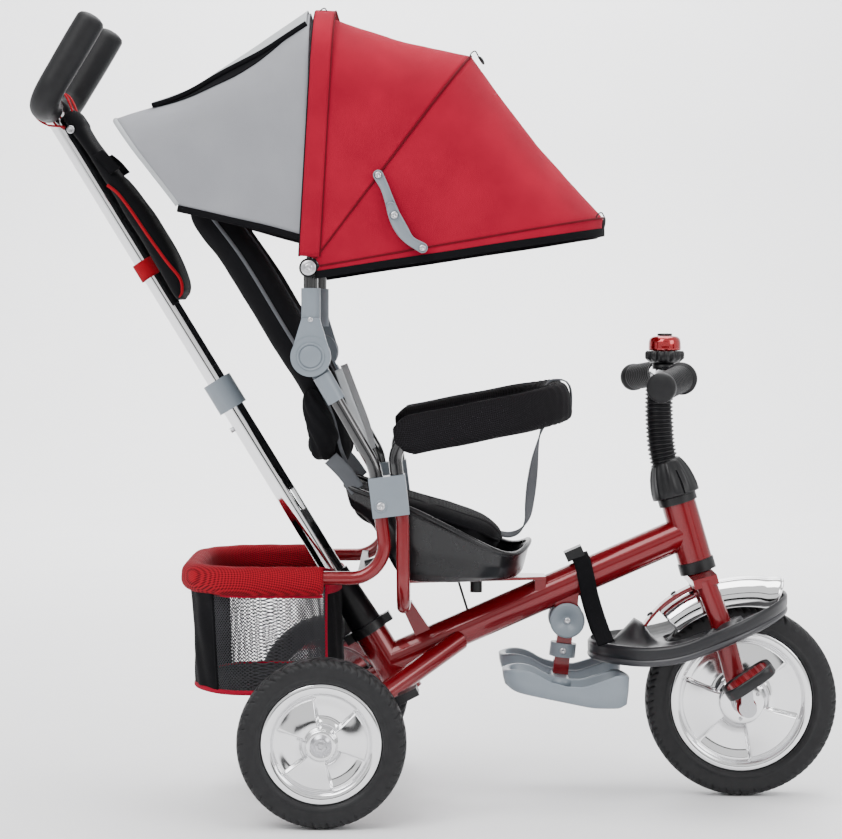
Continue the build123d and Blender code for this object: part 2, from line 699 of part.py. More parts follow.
def make_fork():
    hub = (front_axle_x, front_wheel_radius)
    leg = fork_leg(fork_radius)
    low = fork_points[-1]
    drop = slab([along(low, 165, 12), along(hub, 165, 12), along(hub, 260, 13), along(hub, -15, 12),
                 along(low, -15, 12), along(low, 60, 12)], fork_y - 3, fork_y + 3)
    leg = leg + drop + disc(hub, fork_y - 3, fork_y + 3, 13)
    leg -= disc(hub, 0, 120, axle_radius + running)
    crown = Plane(on_head(-22), x_dir=(0, 1, 0), z_dir=head_up) * Box(
        2 * fork_y + 24, 32, 12)
    stem = rod(on_head(-22), on_head(head_length + 16), steerer_radius)
    fork = crown + stem + leg + mirror(leg, about=Plane.XZ)
    save("fork", fork)

    half, t, r = fender_half_width, fender_wall, fender_radius
    profile = [(r, -half + 7), (r, half - 7), (r - 7, half), (r - 30, half), (r - 30, half - t),
               (r - 7 - t / 2, half - t), (r - t, half - 7 - t / 2), (r - t, -half + 7 + t / 2),
               (r - 7 - t / 2, -half + t), (r - 30, -half + t), (r - 30, -half), (r - 7, -half)]
    guard = ring_turned(profile, hub, 0, 57.4, 73.6)
    crown_clear = Plane(on_head(-22), x_dir=(0, 1, 0), z_dir=head_up) * Box(
        2 * fork_y + 24, 32 + 2 * gap, 12 + 2 * gap)
    bridge = rod(on_head(-28 - gap), on_head(-38), 9)
    guard = guard + bridge - crown_clear
    save("fender", guard)
    return fork


def ring_band(height, lift=0.0):
    """A band that follows the foot ring's rising lower edge."""
    low = [(x, z + lift) for x, z in ring_low]
    high = [(x, z + height) for x, z in reversed(low)]
    return slab(low + high, -ring_half[1] - 5, ring_half[1] + 5)


def oval(shrink, low, high):
    plan = Pos(ring_centre_x, 0, low) * Ellipse(ring_half[0] - shrink, ring_half[1] - shrink)
    return extrude(plan, amount=high - low, dir=(0, 0, 1))


def make_foot_ring():
    low, high = 170.0, 290.0
    slot = block((ring_centre_x - 30, -ring_slot, low),
                 (ring_centre_x + ring_half[0] - ring_rim, ring_slot, high))
    deck = oval(0, low, high) & ring_band(ring_deck, ring_height - ring_deck)
    rim_wall = (oval(0, low, high) - oval(ring_rim, low, high)) & ring_band(ring_height)
    hump = slab([(236, 210), (250, 232), (256, 235.5), (263, 235), (286, 212)], -34, 34)
    ring = deck + rim_wall + hump - slot
    leg_clear = fork_leg(fork_radius + gap)
    collar = fork_leg(fork_radius + 6) & block((300, 0, 212), (420, 120, 236))
    ring = ring + collar + mirror(collar, about=Plane.XZ)
    ring = ring - leg_clear - mirror(leg_clear, about=Plane.XZ)
    save("foot_ring", ring.solids().sort_by(SortBy.VOLUME)[-1])


def make_handlebar():
    shroud_low = head_length + 10 + gap
    shroud = rod(on_head(shroud_low), on_head(shroud_low + 45), head_radius + 2)
    shroud -= rod(on_head(shroud_low - 1), on_head(head_length + 16 + gap), steerer_radius + gap)
    top = on_head(shroud_low + 45)
    stem_foot = (top.X, top.Z)
    stem_r = 12.0
    shroud -= rod(on_head(head_length + 16 + gap), top, stem_r + gap)
    save("stem_shroud", shroud)

    knee = on_head(shroud_low + 53)
    stem_line = [on_head(head_length + 16 + gap), knee, p3(bar_centre)]
    stem = bent(stem_line, [40], stem_r)
    swept = [(-18.0, -bar_half_width, -11.0), (22.0, -115.0, 0.0), (0.0, -50.0, 0.0),
             (0.0, 50.0, 0.0), (22.0, 115.0, 0.0), (-18.0, bar_half_width, -11.0)]
    points = [(bar_centre[0] + x, y, bar_centre[1] + z) for x, y, z in swept]
    bar = bent(points, [60, 60, 60, 60], bar_radius)
    save("handlebar", stem + bar)

    outer, inner = Vector(*points[0]), Vector(*points[1])
    along_bar = (inner - outer).normalized()
    grip = rod(outer - along_bar * 4, outer + along_bar * grip_length, grip_radius)
    grip += rod(outer + along_bar * (grip_length - 6), outer + along_bar * grip_length, 20)
    grip -= bent(points, [60, 60, 60, 60], bar_radius + running)
    save("handlebar_grips", both(grip))

    gaiter_low = Vector(knee.X, 0, stem_foot[1] - 6)
    gaiter_high = Vector(bar_centre[0] + 2, 0, bar_centre[1] - bar_radius - 14)
    count = 9
    step = (gaiter_high - gaiter_low) / count
    gaiter = None
    for i in range(count):
        a = gaiter_low + step * i
        b = a + step
        ring = rod(a, b, 16.5) + rod(a + step * 0.25, a + step * 0.75, 19)
        gaiter = ring if gaiter is None else gaiter + ring
    gaiter -= bent(stem_line, [40], stem_r + gap)
    gaiter -= rod(on_head(shroud_low), on_head(shroud_low + 45 + gap), 40)
    save("stem_gaiter", gaiter.solids().sort_by(SortBy.VOLUME)[-1])

    # Bell: a clamp and base on the bar, a twisting ring and a dome.
    base_z = bar_centre[1] + bar_radius + 4
    x = bar_centre[0] + 3
    base = Pos(x, bell_y, base_z + 7) * Cylinder(15, 14) + Pos(x, bell_y, base_z) * Box(20, 24, 14)
    post = Pos(x, bell_y, base_z + 14) * Cylinder(5, 30, align=(Align.CENTER, Align.CENTER, Align.MIN))
    base = base + post - bent(points, [60, 60, 60, 60], bar_radius + running)
    ring_z = base_z + 14 + gap
    twist = Pos(x, bell_y, ring_z + 6) * (Cylinder(21, 12) - Cylinder(5 + running, 12))
    for i in range(10):
        twist += Pos(x, bell_y, ring_z + 6) * Rot(0, 0, 36 * i) * Pos(20.5, 0, 0) * Cylinder(2.6, 12)
    save("bell_ring", twist)
    dome_z = ring_z + 12 + gap
    dome = Pos(x, bell_y, dome_z) * Cylinder(20, 8, align=(Align.CENTER, Align.CENTER, Align.MIN))
    dome += Pos(x, bell_y, dome_z + 8) * Cone(20, 11, 8, align=(Align.CENTER, Align.CENTER, Align.MIN))
    dome += Pos(x, bell_y, dome_z + 16) * Cylinder(7, 3, align=(Align.CENTER, Align.CENTER, Align.MIN))
    dome -= Pos(x, bell_y, dome_z) * Cylinder(
        5 + running, 30 - 12 - 2 * gap + gap, align=(Align.CENTER, Align.CENTER, Align.MIN))
    save("bell_body", group(base, dome))


def make_strap():
    """Webbing looped over the frame tube, with its buckle, down to the foot ring."""
    half = 11.0
    angle = degrees(atan2(main_tube_front[1] - main_tube_rear[1],
                          main_tube_front[0] - main_tube_rear[0]))
    spot = (184.0, main_tube_front[1] - (main_tube_front[0] - 184.0) * (
        (main_tube_front[1] - main_tube_rear[1]) / (main_tube_front[0] - main_tube_rear[0])))
    a = along(spot, angle, -half)
    b = along(spot, angle, half)
    inner = main_tube_radius + gap
    loop = rod(p3(a), p3(b), inner + 1.5) - rod(p3(a), p3(b), inner)
    buckle_z = spot[1] + 31
    buckle = Plane((spot[0] - 10, 0, buckle_z), x_dir=(cos(radians(angle)), 0, sin(radians(angle))),
                   z_dir=(-sin(radians(angle)), 0, cos(radians(angle)))) * Box(24, 26, 13)
    save("strap_buckle", group(buckle - rod(p3(a), p3(b), inner + 1.5 + gap)))
    y = -inner - 0.5
    tail = slab([(spot[0] - 10, spot[1] + 4), (spot[0] + 11, spot[1] + 8), (219, 211.6), (197, 211.6)],
                y - 1.5, y)
    tail = (tail - rod(p3(main_tube_front), p3(main_tube_rear), inner)).solids().sort_by(
        SortBy.VOLUME)[-1]
    save("steering_strap", (loop + tail).solids().sort_by(SortBy.VOLUME)[-1])


# ---------------------------------------------------------------- crank, pedals, brake, footrest

def make_pedals():
    hub = (front_axle_x, front_wheel_radius)
    crank_y = fork_y + fork_radius + 1.5
    place = {-1: along(hub, 95.3, crank_length), 1: along(hub, 275.3, crank_length)}
    axle = disc(hub, -crank_y - 4, crank_y + 4, axle_radius)
    for side, spot in place.items():
        y0, y1 = sorted((side * crank_y, side * (crank_y + 8)))
        angle = degrees(atan2(spot[1] - hub[1], spot[0] - hub[0]))
        arm = slab([along(hub, angle - 90, 8), along(spot, angle - 90, 7),
                    along(spot, angle + 90, 7), along(hub, angle + 90, 8)], y0, y1)
        arm += disc(hub, y0, y1, 11) + disc(spot, y0, y1, 7)
        arm += disc(spot, side * crank_y, side * (pedal_y + pedal_size[1] / 2 - 2), 5)
        axle += arm
    save("front_axle_crank", axle)
    for name, side in (("left", 1), ("right", -1)):
        spot = place[side]
        tilt = pedal_tilt
        length, width, thick = pedal_size
        frame = Plane(p3(spot, side * pedal_y), x_dir=(cos(radians(tilt)), 0, sin(radians(tilt))),
                      z_dir=(-sin(radians(tilt)), 0, cos(radians(tilt))))
        body = frame * Box(length, width, thick)
        body -= disc(spot, -200, 200, 5 + running)
        body -= frame * Pos(0, 0, 0) * Box(length - 14, width - 14, thick + 2)
        body += frame * Box(16, width, thick - 3) - disc(spot, -200, 200, 5 + running)
        body += frame * Box(length, 5, thick - 5) - disc(spot, -200, 200, 5 + running)
        save(f"pedal_{name}", body.solids().sort_by(SortBy.VOLUME)[-1])


def make_brake():
    eye = (rear_axle_x, rear_wheel_radius)
    y0, y1 = 180.5, 187.5
    tip = (-30.0, 163.0)
    angle = degrees(atan2(tip[1] - eye[1], tip[0] - eye[0]))
    lever = disc(eye, y0, y1, carrier_radius + 7)
    lever += slab([along(eye, angle - 90, 7), along(tip, angle - 90, 5), along(tip, angle + 90, 5),
                   along(eye, angle + 90, 7)], y0, y1)
    lever += slab([along(along(tip, angle, -26), angle - 90, 4), along(tip, angle - 90, 4),
                   along(tip, angle + 90, 4), along(along(tip, angle, -26), angle + 90, 4)],
                  148, y1)
    lever -= disc(eye, 140, 200, carrier_radius + running)
    save("brake_lever_left", lever)
    save("brake_lever_right", mirror(lever, about=Plane.XZ))


def make_footrest():
    half = step_post_half
    low = step_bar
    lean = degrees(atan2(step_pivot[1] - low[1], step_pivot[0] - low[0]))
    foot = along(low, lean, 7.6)
    post = slab([along(foot, lean - 90, 10), along(step_pivot, lean - 90, 10),
                 along(step_pivot, lean + 90, 10), along(foot, lean + 90, 10)], -half, half)
    post += disc(step_pivot, -half, half, 13)
    post -= disc(step_pivot, -40, 40, hinge_pin_radius + running)
    save("footrest_post", post)

    collar_low, collar_high = along(low, lean, 30), along(low, lean, 48)
    axis = (cos(radians(lean)), 0, sin(radians(lean)))
    height = hypot(collar_high[0] - collar_low[0], collar_high[1] - collar_low[1])
    spot = ((collar_low[0] + collar_high[0]) / 2, (collar_low[1] + collar_high[1]) / 2)
    collar = Plane(p3(spot), x_dir=(0, 1, 0), z_dir=axis) * Cylinder(17, height)
    collar -= Plane(p3(spot), x_dir=(0, 1, 0), z_dir=axis) * Box(2 * half + 0.2, 20.2, 60)
    pin_half = half + step_ear + 2 * gap
    cover_disc = disc(step_pivot, pin_half, pin_half + 9, 22)
    covers = cover_disc + disc(step_pivot, -pin_half - 1, pin_half + 1, hinge_pin_radius)
    covers += mirror(cover_disc, about=Plane.XZ)
    save("footrest_fittings", group(collar, covers))

    outline = [(80, 174), (99, 179), (137, 162), (179, 154), (205, 163), (224, 172), (237, 167),
               (240, 150), (236, 127), (192, 127.5), (99, 147), (79, 158)]
    inner = [(83.5, 200), (102, 152), (137, 143.5), (192, 132), (231, 131.5), (236, 150), (234, 200)]
    y0, y1 = step_tray_y
    tray = slab(outline, y0, y1) - slab(inner, y0 + step_wall, y1 - step_wall)
    bar = Pos(low[0], 0, low[1]) * Box(26, 2 * y0 + 2, 12)
    trays = bar + tray + mirror(tray, about=Plane.XZ)
    save("footrest_trays", trays)


def rod_bracket():
    """A cross strap between the seat rails, in front of the push rod, and its knob."""
    spot_x = basket_front_x + 8 + 8 + 2 * gap
    half = post_y - seat_tube_radius - gap
    bar = Pos(spot_x, 0, rail_z) * Box(8, 2 * half, 14)
    bar -= rod(on_rod(120), on_rod(260), lower_rod_radius + gap)
    knob = rod((spot_x + 4 + gap, -34, rail_z + 2), (spot_x + 24, -34, rail_z + 8), 9)
    return bar, knob


def build():
    os.makedirs("parts", exist_ok=True)
    make_wheels()
    make_frame()
    make_seat()
    make_backrest()
    make_basket()
    make_push_rod()
    make_canopy()
    make_fork()
    make_foot_ring()
    make_handlebar()
    make_strap()
    make_pedals()
    make_brake()
    make_footrest()


build()
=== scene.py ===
import math

import bmesh
import bpy
from mathutils import Matrix, Vector, noise


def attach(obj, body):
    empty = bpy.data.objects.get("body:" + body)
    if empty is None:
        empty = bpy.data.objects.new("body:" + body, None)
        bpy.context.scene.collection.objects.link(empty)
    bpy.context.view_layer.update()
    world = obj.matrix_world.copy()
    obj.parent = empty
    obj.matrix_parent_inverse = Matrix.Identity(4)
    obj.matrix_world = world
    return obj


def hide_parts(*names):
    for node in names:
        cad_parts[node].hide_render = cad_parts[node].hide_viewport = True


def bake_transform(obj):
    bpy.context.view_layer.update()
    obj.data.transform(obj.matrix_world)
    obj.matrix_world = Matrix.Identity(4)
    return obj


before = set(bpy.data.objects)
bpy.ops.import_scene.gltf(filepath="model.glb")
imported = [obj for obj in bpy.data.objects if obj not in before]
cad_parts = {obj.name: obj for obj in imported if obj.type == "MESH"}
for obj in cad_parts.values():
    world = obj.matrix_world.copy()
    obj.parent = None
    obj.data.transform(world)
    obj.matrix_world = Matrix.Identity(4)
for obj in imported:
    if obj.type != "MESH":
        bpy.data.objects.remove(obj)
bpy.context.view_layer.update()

scene = bpy.context.scene
MM = 0.001
TAU = 2 * math.pi
SIDES = (("right", -1), ("left", 1))    # the rider's sides and the sign of their Y


# ---------------------------------------------------------------- mesh helpers

def vec(x, y, z):
    """A point given in millimetres."""
    return Vector((x * MM, y * MM, z * MM))


def mix(a, b, t):
    return a + (b - a) * t


def ease(low, high, x):
    """0 below low, 1 above high, smooth between."""
    t = min(1.0, max(0.0, (x - low) / (high - low)))
    return t * t * (3 - 2 * t)


def piece(name, verts, faces, material, body=None, nodes=(), smooth=True, thickness=0.0,
          bevel=0.0, subdivide=0, even=True):
    """A mesh object, riding on a body and standing for the named CAD nodes."""
    mesh = bpy.data.meshes.new(name)
    mesh.from_pydata([tuple(v) for v in verts], [], faces)
    work = bmesh.new()
    work.from_mesh(mesh)
    bmesh.ops.remove_doubles(work, verts=work.verts, dist=1e-6)
    bmesh.ops.recalc_face_normals(work, faces=work.faces)
    work.to_mesh(mesh)
    work.free()
    mesh.materials.append(material)
    for polygon in mesh.polygons:
        polygon.use_smooth = smooth
    obj = bpy.data.objects.new(name, mesh)
    scene.collection.objects.link(obj)
    if thickness:
        solid = obj.modifiers.new("thickness", "SOLIDIFY")
        solid.thickness = thickness * MM
        solid.offset = 0
        solid.use_even_offset = even
    if bevel:
        edge = obj.modifiers.new("edges", "BEVEL")
        edge.width = bevel * MM
        edge.segments = 3
        edge.limit_method = "ANGLE"
        edge.angle_limit = math.radians(35)
        edge.harden_normals = False
    if subdivide:
        sub = obj.modifiers.new("smooth", "SUBSURF")
        sub.levels = subdivide
        sub.render_levels = subdivide
    if body:
        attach(obj, body)
    if nodes:
        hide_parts(*nodes)
    return obj


def grid_faces(rows, columns, loop_rows=False, loop_columns=False, first=0):
    faces = []
    for i in range(rows if loop_rows else rows - 1):
        for j in range(columns if loop_columns else columns - 1):
            i2, j2 = (i + 1) % rows, (j + 1) % columns
            faces.append((first + i * columns + j, first + i2 * columns + j,
                          first + i2 * columns + j2, first + i * columns + j2))
    return faces


def surface(name, place, rows, columns, material, loop_rows=False, loop_columns=False, **more):
    """A sheet from place(u, v), with u and v from 0 to 1."""
    du = rows if loop_rows else rows - 1
    dv = columns if loop_columns else columns - 1
    verts = [place(i / du, j / dv) for i in range(rows) for j in range(columns)]
    return piece(name, verts, grid_faces(rows, columns, loop_rows, loop_columns), material, **more)


def between(p0, p1, p2, p3, t):
    """The Catmull-Rom value from p1 to p2, for numbers or points."""
    return 0.5 * (2 * p1 + (p2 - p0) * t + (2 * p0 - 5 * p1 + 4 * p2 - p3) * t * t
                  + (3 * p1 - p0 - 3 * p2 + p3) * t ** 3)


def length_of(path):
    return sum((b - a).length for a, b in zip(path, path[1:]))


def spread(line, count, steps):
    """count points along a line, with steps equal steps in its whole length."""
    total = [0.0]
    for a, b in zip(line, line[1:]):
        total.append(total[-1] + (b - a).length)
    result = []
    k = 0
    for i in range(count):
        want = total[-1] * i / steps
        while k < len(total) - 2 and total[k + 1] < want:
            k += 1
        span = total[k + 1] - total[k]
        result.append(line[k].lerp(line[k + 1], (want - total[k]) / span if span > 0 else 0))
    return result


def smooth_path(points, count):
    """Evenly spaced points on a Catmull-Rom line through the given points."""
    ends = [points[0] * 2 - points[1], *points, points[-1] * 2 - points[-2]]
    fine = []
    for p0, p1, p2, p3 in zip(ends, ends[1:], ends[2:], ends[3:]):
        fine += [between(p0, p1, p2, p3, k / 24) for k in range(24)]
    fine.append(points[-1].copy())
    return spread(fine, count, count - 1)


def corner_path(points, radius, count):
    """Points along straight runs joined by round corners of the given radius in mm."""
    line = [points[0]]
    for a, b, c in zip(points, points[1:], points[2:]):
        u, w = (a - b).normalized(), (c - b).normalized()
        half = u.angle(w) / 2
        run = min(radius * MM / math.tan(half), 0.49 * (a - b).length, 0.49 * (c - b).length)
        middle = b + (u + w).normalized() * (run / math.cos(half))
        start, end = b + u * run - middle, b + w * run - middle
        turn = start.angle(end)
        axis = start.cross(end).normalized()
        line += [middle + Matrix.Rotation(turn * k / 12, 3, axis) @ start for k in range(13)]
    line.append(points[-1])
    return spread(line, count, count - 1)


def transported(path, side, closed=False):
    """Two directions square to the path at each point, carried along without twist."""
    n = len(path)
    frames = []
    normal = Vector(side)
    for i in range(n):
        before = path[(i - 1) % n] if closed or i > 0 else path[0]
        after = path[(i + 1) % n] if closed or i < n - 1 else path[-1]
        forward = (after - before).normalized()
        normal = (normal - forward * normal.dot(forward)).normalized()
        frames.append((normal.copy(), forward.cross(normal)))
    return frames


def tube(name, path, radius, material, sides=16, side=(0, 1, 0), closed=False, flat=1.0, caps=True,
         round_ends=False, **more):
    """A round or flattened tube on a path. radius is in mm, or a function of (t, angle)."""
    frames = transported(path, side, closed)
    verts = []
    count = len(path)
    for i, (point, (a, b)) in enumerate(zip(path, frames)):
        t = i / (count - 1)
        for k in range(sides):
            angle = TAU * k / sides
            r = radius(t, angle) if callable(radius) else radius
            verts.append(point + (a * math.cos(angle) + b * math.sin(angle) * flat) * r * MM)
    faces = grid_faces(count, sides, closed, True)
    if caps and not closed:
        for ring, point, sign in ((0, path[0], -1), (count - 1, path[-1], 1)):
            base = [ring * sides + k for k in range(sides)]
            if round_ends:
                other = path[1] if ring == 0 else path[-2]
                out = (point - other).normalized()
                r_end = radius(ring / (count - 1), 0) if callable(radius) else radius
                previous = base
                for level in (30, 55, 75):
                    shrink, push = math.cos(math.radians(level)), math.sin(math.radians(level))
                    start = len(verts)
                    for k in range(sides):
                        verts.append(point + (verts[base[k]] - point) * shrink
                                     + out * push * r_end * round_ends * MM)
                    now = [start + k for k in range(sides)]
                    for k in range(sides):
                        k2 = (k + 1) % sides
                        faces.append((previous[k], previous[k2], now[k2], now[k]))
                    previous = now
                base = previous
            faces.append(tuple(base))
    return piece(name, verts, faces, material, **more)


def band(name, path, across, width, material, thickness=1.6, **more):
    """Flat webbing on a path. across is the direction of its width, or one for each point."""
    many = across if isinstance(across, list) else [across] * len(path)
    lanes = 7
    verts = []
    for point, direction in zip(path, many):
        for j in range(lanes):
            verts.append(point + Vector(direction).normalized() * width * MM * (j / (lanes - 1) - 0.5))
    return piece(name, verts, grid_faces(len(path), lanes), material, thickness=thickness, **more)


def declare(place):
    """Measure the size that place(u, v) has with its rows and columns laid straight; the result is not used.
    """
    rows, columns = 24, 90
    grid = [[place(i / rows, j / columns) for j in range(columns + 1)] for i in range(rows + 1)]
    across = max(length_of(row) for row in grid)
    along = max(length_of(column) for column in zip(*grid))
    for row, below in zip(grid, grid[1:]):
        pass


def strap(name, path, across, width, material, thickness, held, rests_on, **more):
    """A band of webbing of the given width; the path's length is measured but not used."""
    obj = band(name, path, across, width, material, thickness, **more)
    length_of(path)
    return obj


def squared(angle, power):
    """Cosine and sine pulled towards a square's, for an outline with round corners."""
    c, s = math.cos(angle), math.sin(angle)
    return math.copysign(abs(c) ** power, c), math.copysign(abs(s) ** power, s)


def oval(angle, a, b, power):
    """Radius of a squarish oval with half widths a and b."""
    return (abs(math.cos(angle) / a) ** power + abs(math.sin(angle) / b) ** power) ** (-1 / power)


def lathe(name, profile, centre, axis, material, sides=48, radial=None, **more):
    """Turn (radius, height) pairs about an axis through centre. radial changes each radius."""
    axis = Vector(axis).normalized()
    a = axis.orthogonal().normalized()
    b = axis.cross(a)
    verts = []
    for r, h in profile:
        for k in range(sides):
            angle = TAU * k / sides
            rr = radial(r, h, angle) if radial else r
            verts.append(centre + axis * h * MM + (a * math.cos(angle) + b * math.sin(angle)) * rr * MM)
    faces = grid_faces(len(profile), sides, False, True)
    for ring in (0, len(profile) - 1):
        faces.append(tuple(ring * sides + k for k in range(sides)))
    return piece(name, verts, faces, material, **more)


def pillow(name, place, normal, half, material, rows=28, columns=28, power=5.0, bottom=1.0, relief=None,
           **more):
    """A crowned closed form on both sides of place(u, v), half thick in mm at its middle."""
    out = Vector(normal).normalized()
    verts = []
    for sign in (1, -1):
        for i in range(rows):
            for j in range(columns):
                u, v = i / (rows - 1), j / (columns - 1)
                swell = ((1 - abs(2 * u - 1) ** power) * (1 - abs(2 * v - 1) ** power)) ** 0.5
                height = half * swell * (1 if sign > 0 else bottom)
                if relief:
                    height += relief(u, v, sign) * swell
                verts.append(place(u, v) + out * sign * height * MM)
    faces = grid_faces(rows, columns)
    faces += [tuple(reversed(f)) for f in grid_faces(rows, columns, first=rows * columns)]
    return piece(name, verts, faces, material, **more)


def noisy(point, scale, seed=0.0):
    """Smooth noise from -1 to 1 at a point in metres."""
    return noise.noise(Vector((point[0] * scale + seed, point[1] * scale, point[2] * scale)))


# ---------------------------------------------------------------- materials

def new_material(name, color, rough, metal=0.0, coat=0.0, coat_rough=0.05, sheen=0.0, specular=0.5):
    material = bpy.data.materials.new(name)
    material.use_nodes = True
    shader = material.node_tree.nodes["Principled BSDF"]
    shader.inputs["Base Color"].default_value = (*color, 1)
    shader.inputs["Roughness"].default_value = rough
    shader.inputs["Metallic"].default_value = metal
    shader.inputs["Coat Weight"].default_value = coat
    shader.inputs["Coat Roughness"].default_value = coat_rough
    shader.inputs["Sheen Weight"].default_value = sheen
    shader.inputs["Specular IOR Level"].default_value = specular
    return material


def node(material, kind, **values):
    made = material.node_tree.nodes.new(kind)
    for key, value in values.items():
        if hasattr(made, key):
            setattr(made, key, value)
        else:
            made.inputs[key.replace("_", " ")].default_value = value
    return made


def link(material, source, target):
    material.node_tree.links.new(source, target)


def coordinates(material, scale=(1, 1, 1), turn=(0, 0, 0)):
    place = node(material, "ShaderNodeTexCoord")
    mapping = node(material, "ShaderNodeMapping")
    mapping.inputs["Scale"].default_value = scale
    mapping.inputs["Rotation"].default_value = turn
    link(material, place.outputs["Object"], mapping.inputs["Vector"])
    return mapping.outputs["Vector"]


def noise_value(material, scale, detail=3.0, vector=None):
    texture = node(material, "ShaderNodeTexNoise")
    texture.inputs["Scale"].default_value = scale
    texture.inputs["Detail"].default_value = detail
    link(material, vector or coordinates(material), texture.inputs["Vector"])
    return texture.outputs["Fac"]


def vary_color(material, low, high, scale, detail=3.0):
    """Blend two colours by soft noise."""
    ramp = node(material, "ShaderNodeValToRGB")
    ramp.color_ramp.elements[0].position = 0.3
    ramp.color_ramp.elements[0].color = (*low, 1)
    ramp.color_ramp.elements[1].position = 0.7
    ramp.color_ramp.elements[1].color = (*high, 1)
    link(material, noise_value(material, scale, detail), ramp.inputs["Fac"])
    shader = material.node_tree.nodes["Principled BSDF"]
    link(material, ramp.outputs["Color"], shader.inputs["Base Color"])
    return ramp.outputs["Color"]


def vary_rough(material, low, high, scale):
    span = node(material, "ShaderNodeMapRange")
    span.inputs["To Min"].default_value = low
    span.inputs["To Max"].default_value = high
    link(material, noise_value(material, scale), span.inputs["Value"])
    shader = material.node_tree.nodes["Principled BSDF"]
    link(material, span.outputs["Result"], shader.inputs["Roughness"])


def add_bump(material, height, strength, distance):
    bump = node(material, "ShaderNodeBump")
    bump.inputs["Strength"].default_value = strength
    bump.inputs["Distance"].default_value = distance
    link(material, height, bump.inputs["Height"])
    shader = material.node_tree.nodes["Principled BSDF"]
    link(material, bump.outputs["Normal"], shader.inputs["Normal"])


def math_node(material, operation, a, b=None):
    made = node(material, "ShaderNodeMath")
    made.operation = operation
    for slot, value in ((0, a), (1, b)):
        if value is None:
            continue
        if isinstance(value, (int, float)):
            made.inputs[slot].default_value = value
        else:
            link(material, value, made.inputs[slot])
    return made.outputs[0]


def threads(material, pitch, turn=0.0):
    """Height of crossed threads with the given pitch in metres."""
    vector = coordinates(material, turn=(0, turn, 0))
    parts = node(material, "ShaderNodeSeparateXYZ")
    link(material, vector, parts.inputs["Vector"])
    k = TAU / pitch
    across = math_node(material, "ADD", parts.outputs["X"], parts.outputs["Y"])
    waves = []
    for value in (across, parts.outputs["Z"]):
        waves.append(math_node(material, "SINE", math_node(material, "MULTIPLY", value, k)))
    return math_node(material, "MULTIPLY", waves[0], waves[1])


def fabric(name, color, pitch, strength=0.5, tint=0.12, sheen=0.03, rough=0.9):
    material = new_material(name, color, rough, sheen=sheen, specular=0.12)
    low = tuple(c * (1 - tint) for c in color)
    high = tuple(min(1, c * (1 + tint)) for c in color)
    vary_color(material, low, high, 18, 6)
    slubs = noise_value(material, 900, 2)
    add_bump(material, math_node(material, "ADD", threads(material, pitch), slubs), strength, 0.0003)
    return material


def hard(name, color, rough, tint=None, gloss=None, bump=None, **shader):
    """A hard material: paint, plastic or metal.

    tint is (darker, lighter, scale, detail), gloss (least, most, scale) for the roughness, and bump
    (scale, detail, strength, distance).
    """
    material = new_material(name, color, rough, **shader)
    if tint:
        vary_color(material, *tint)
    if gloss:
        vary_rough(material, *gloss)
    if bump:
        scale, detail, strength, distance = bump
        add_bump(material, noise_value(material, scale, detail), strength, distance)
    return material


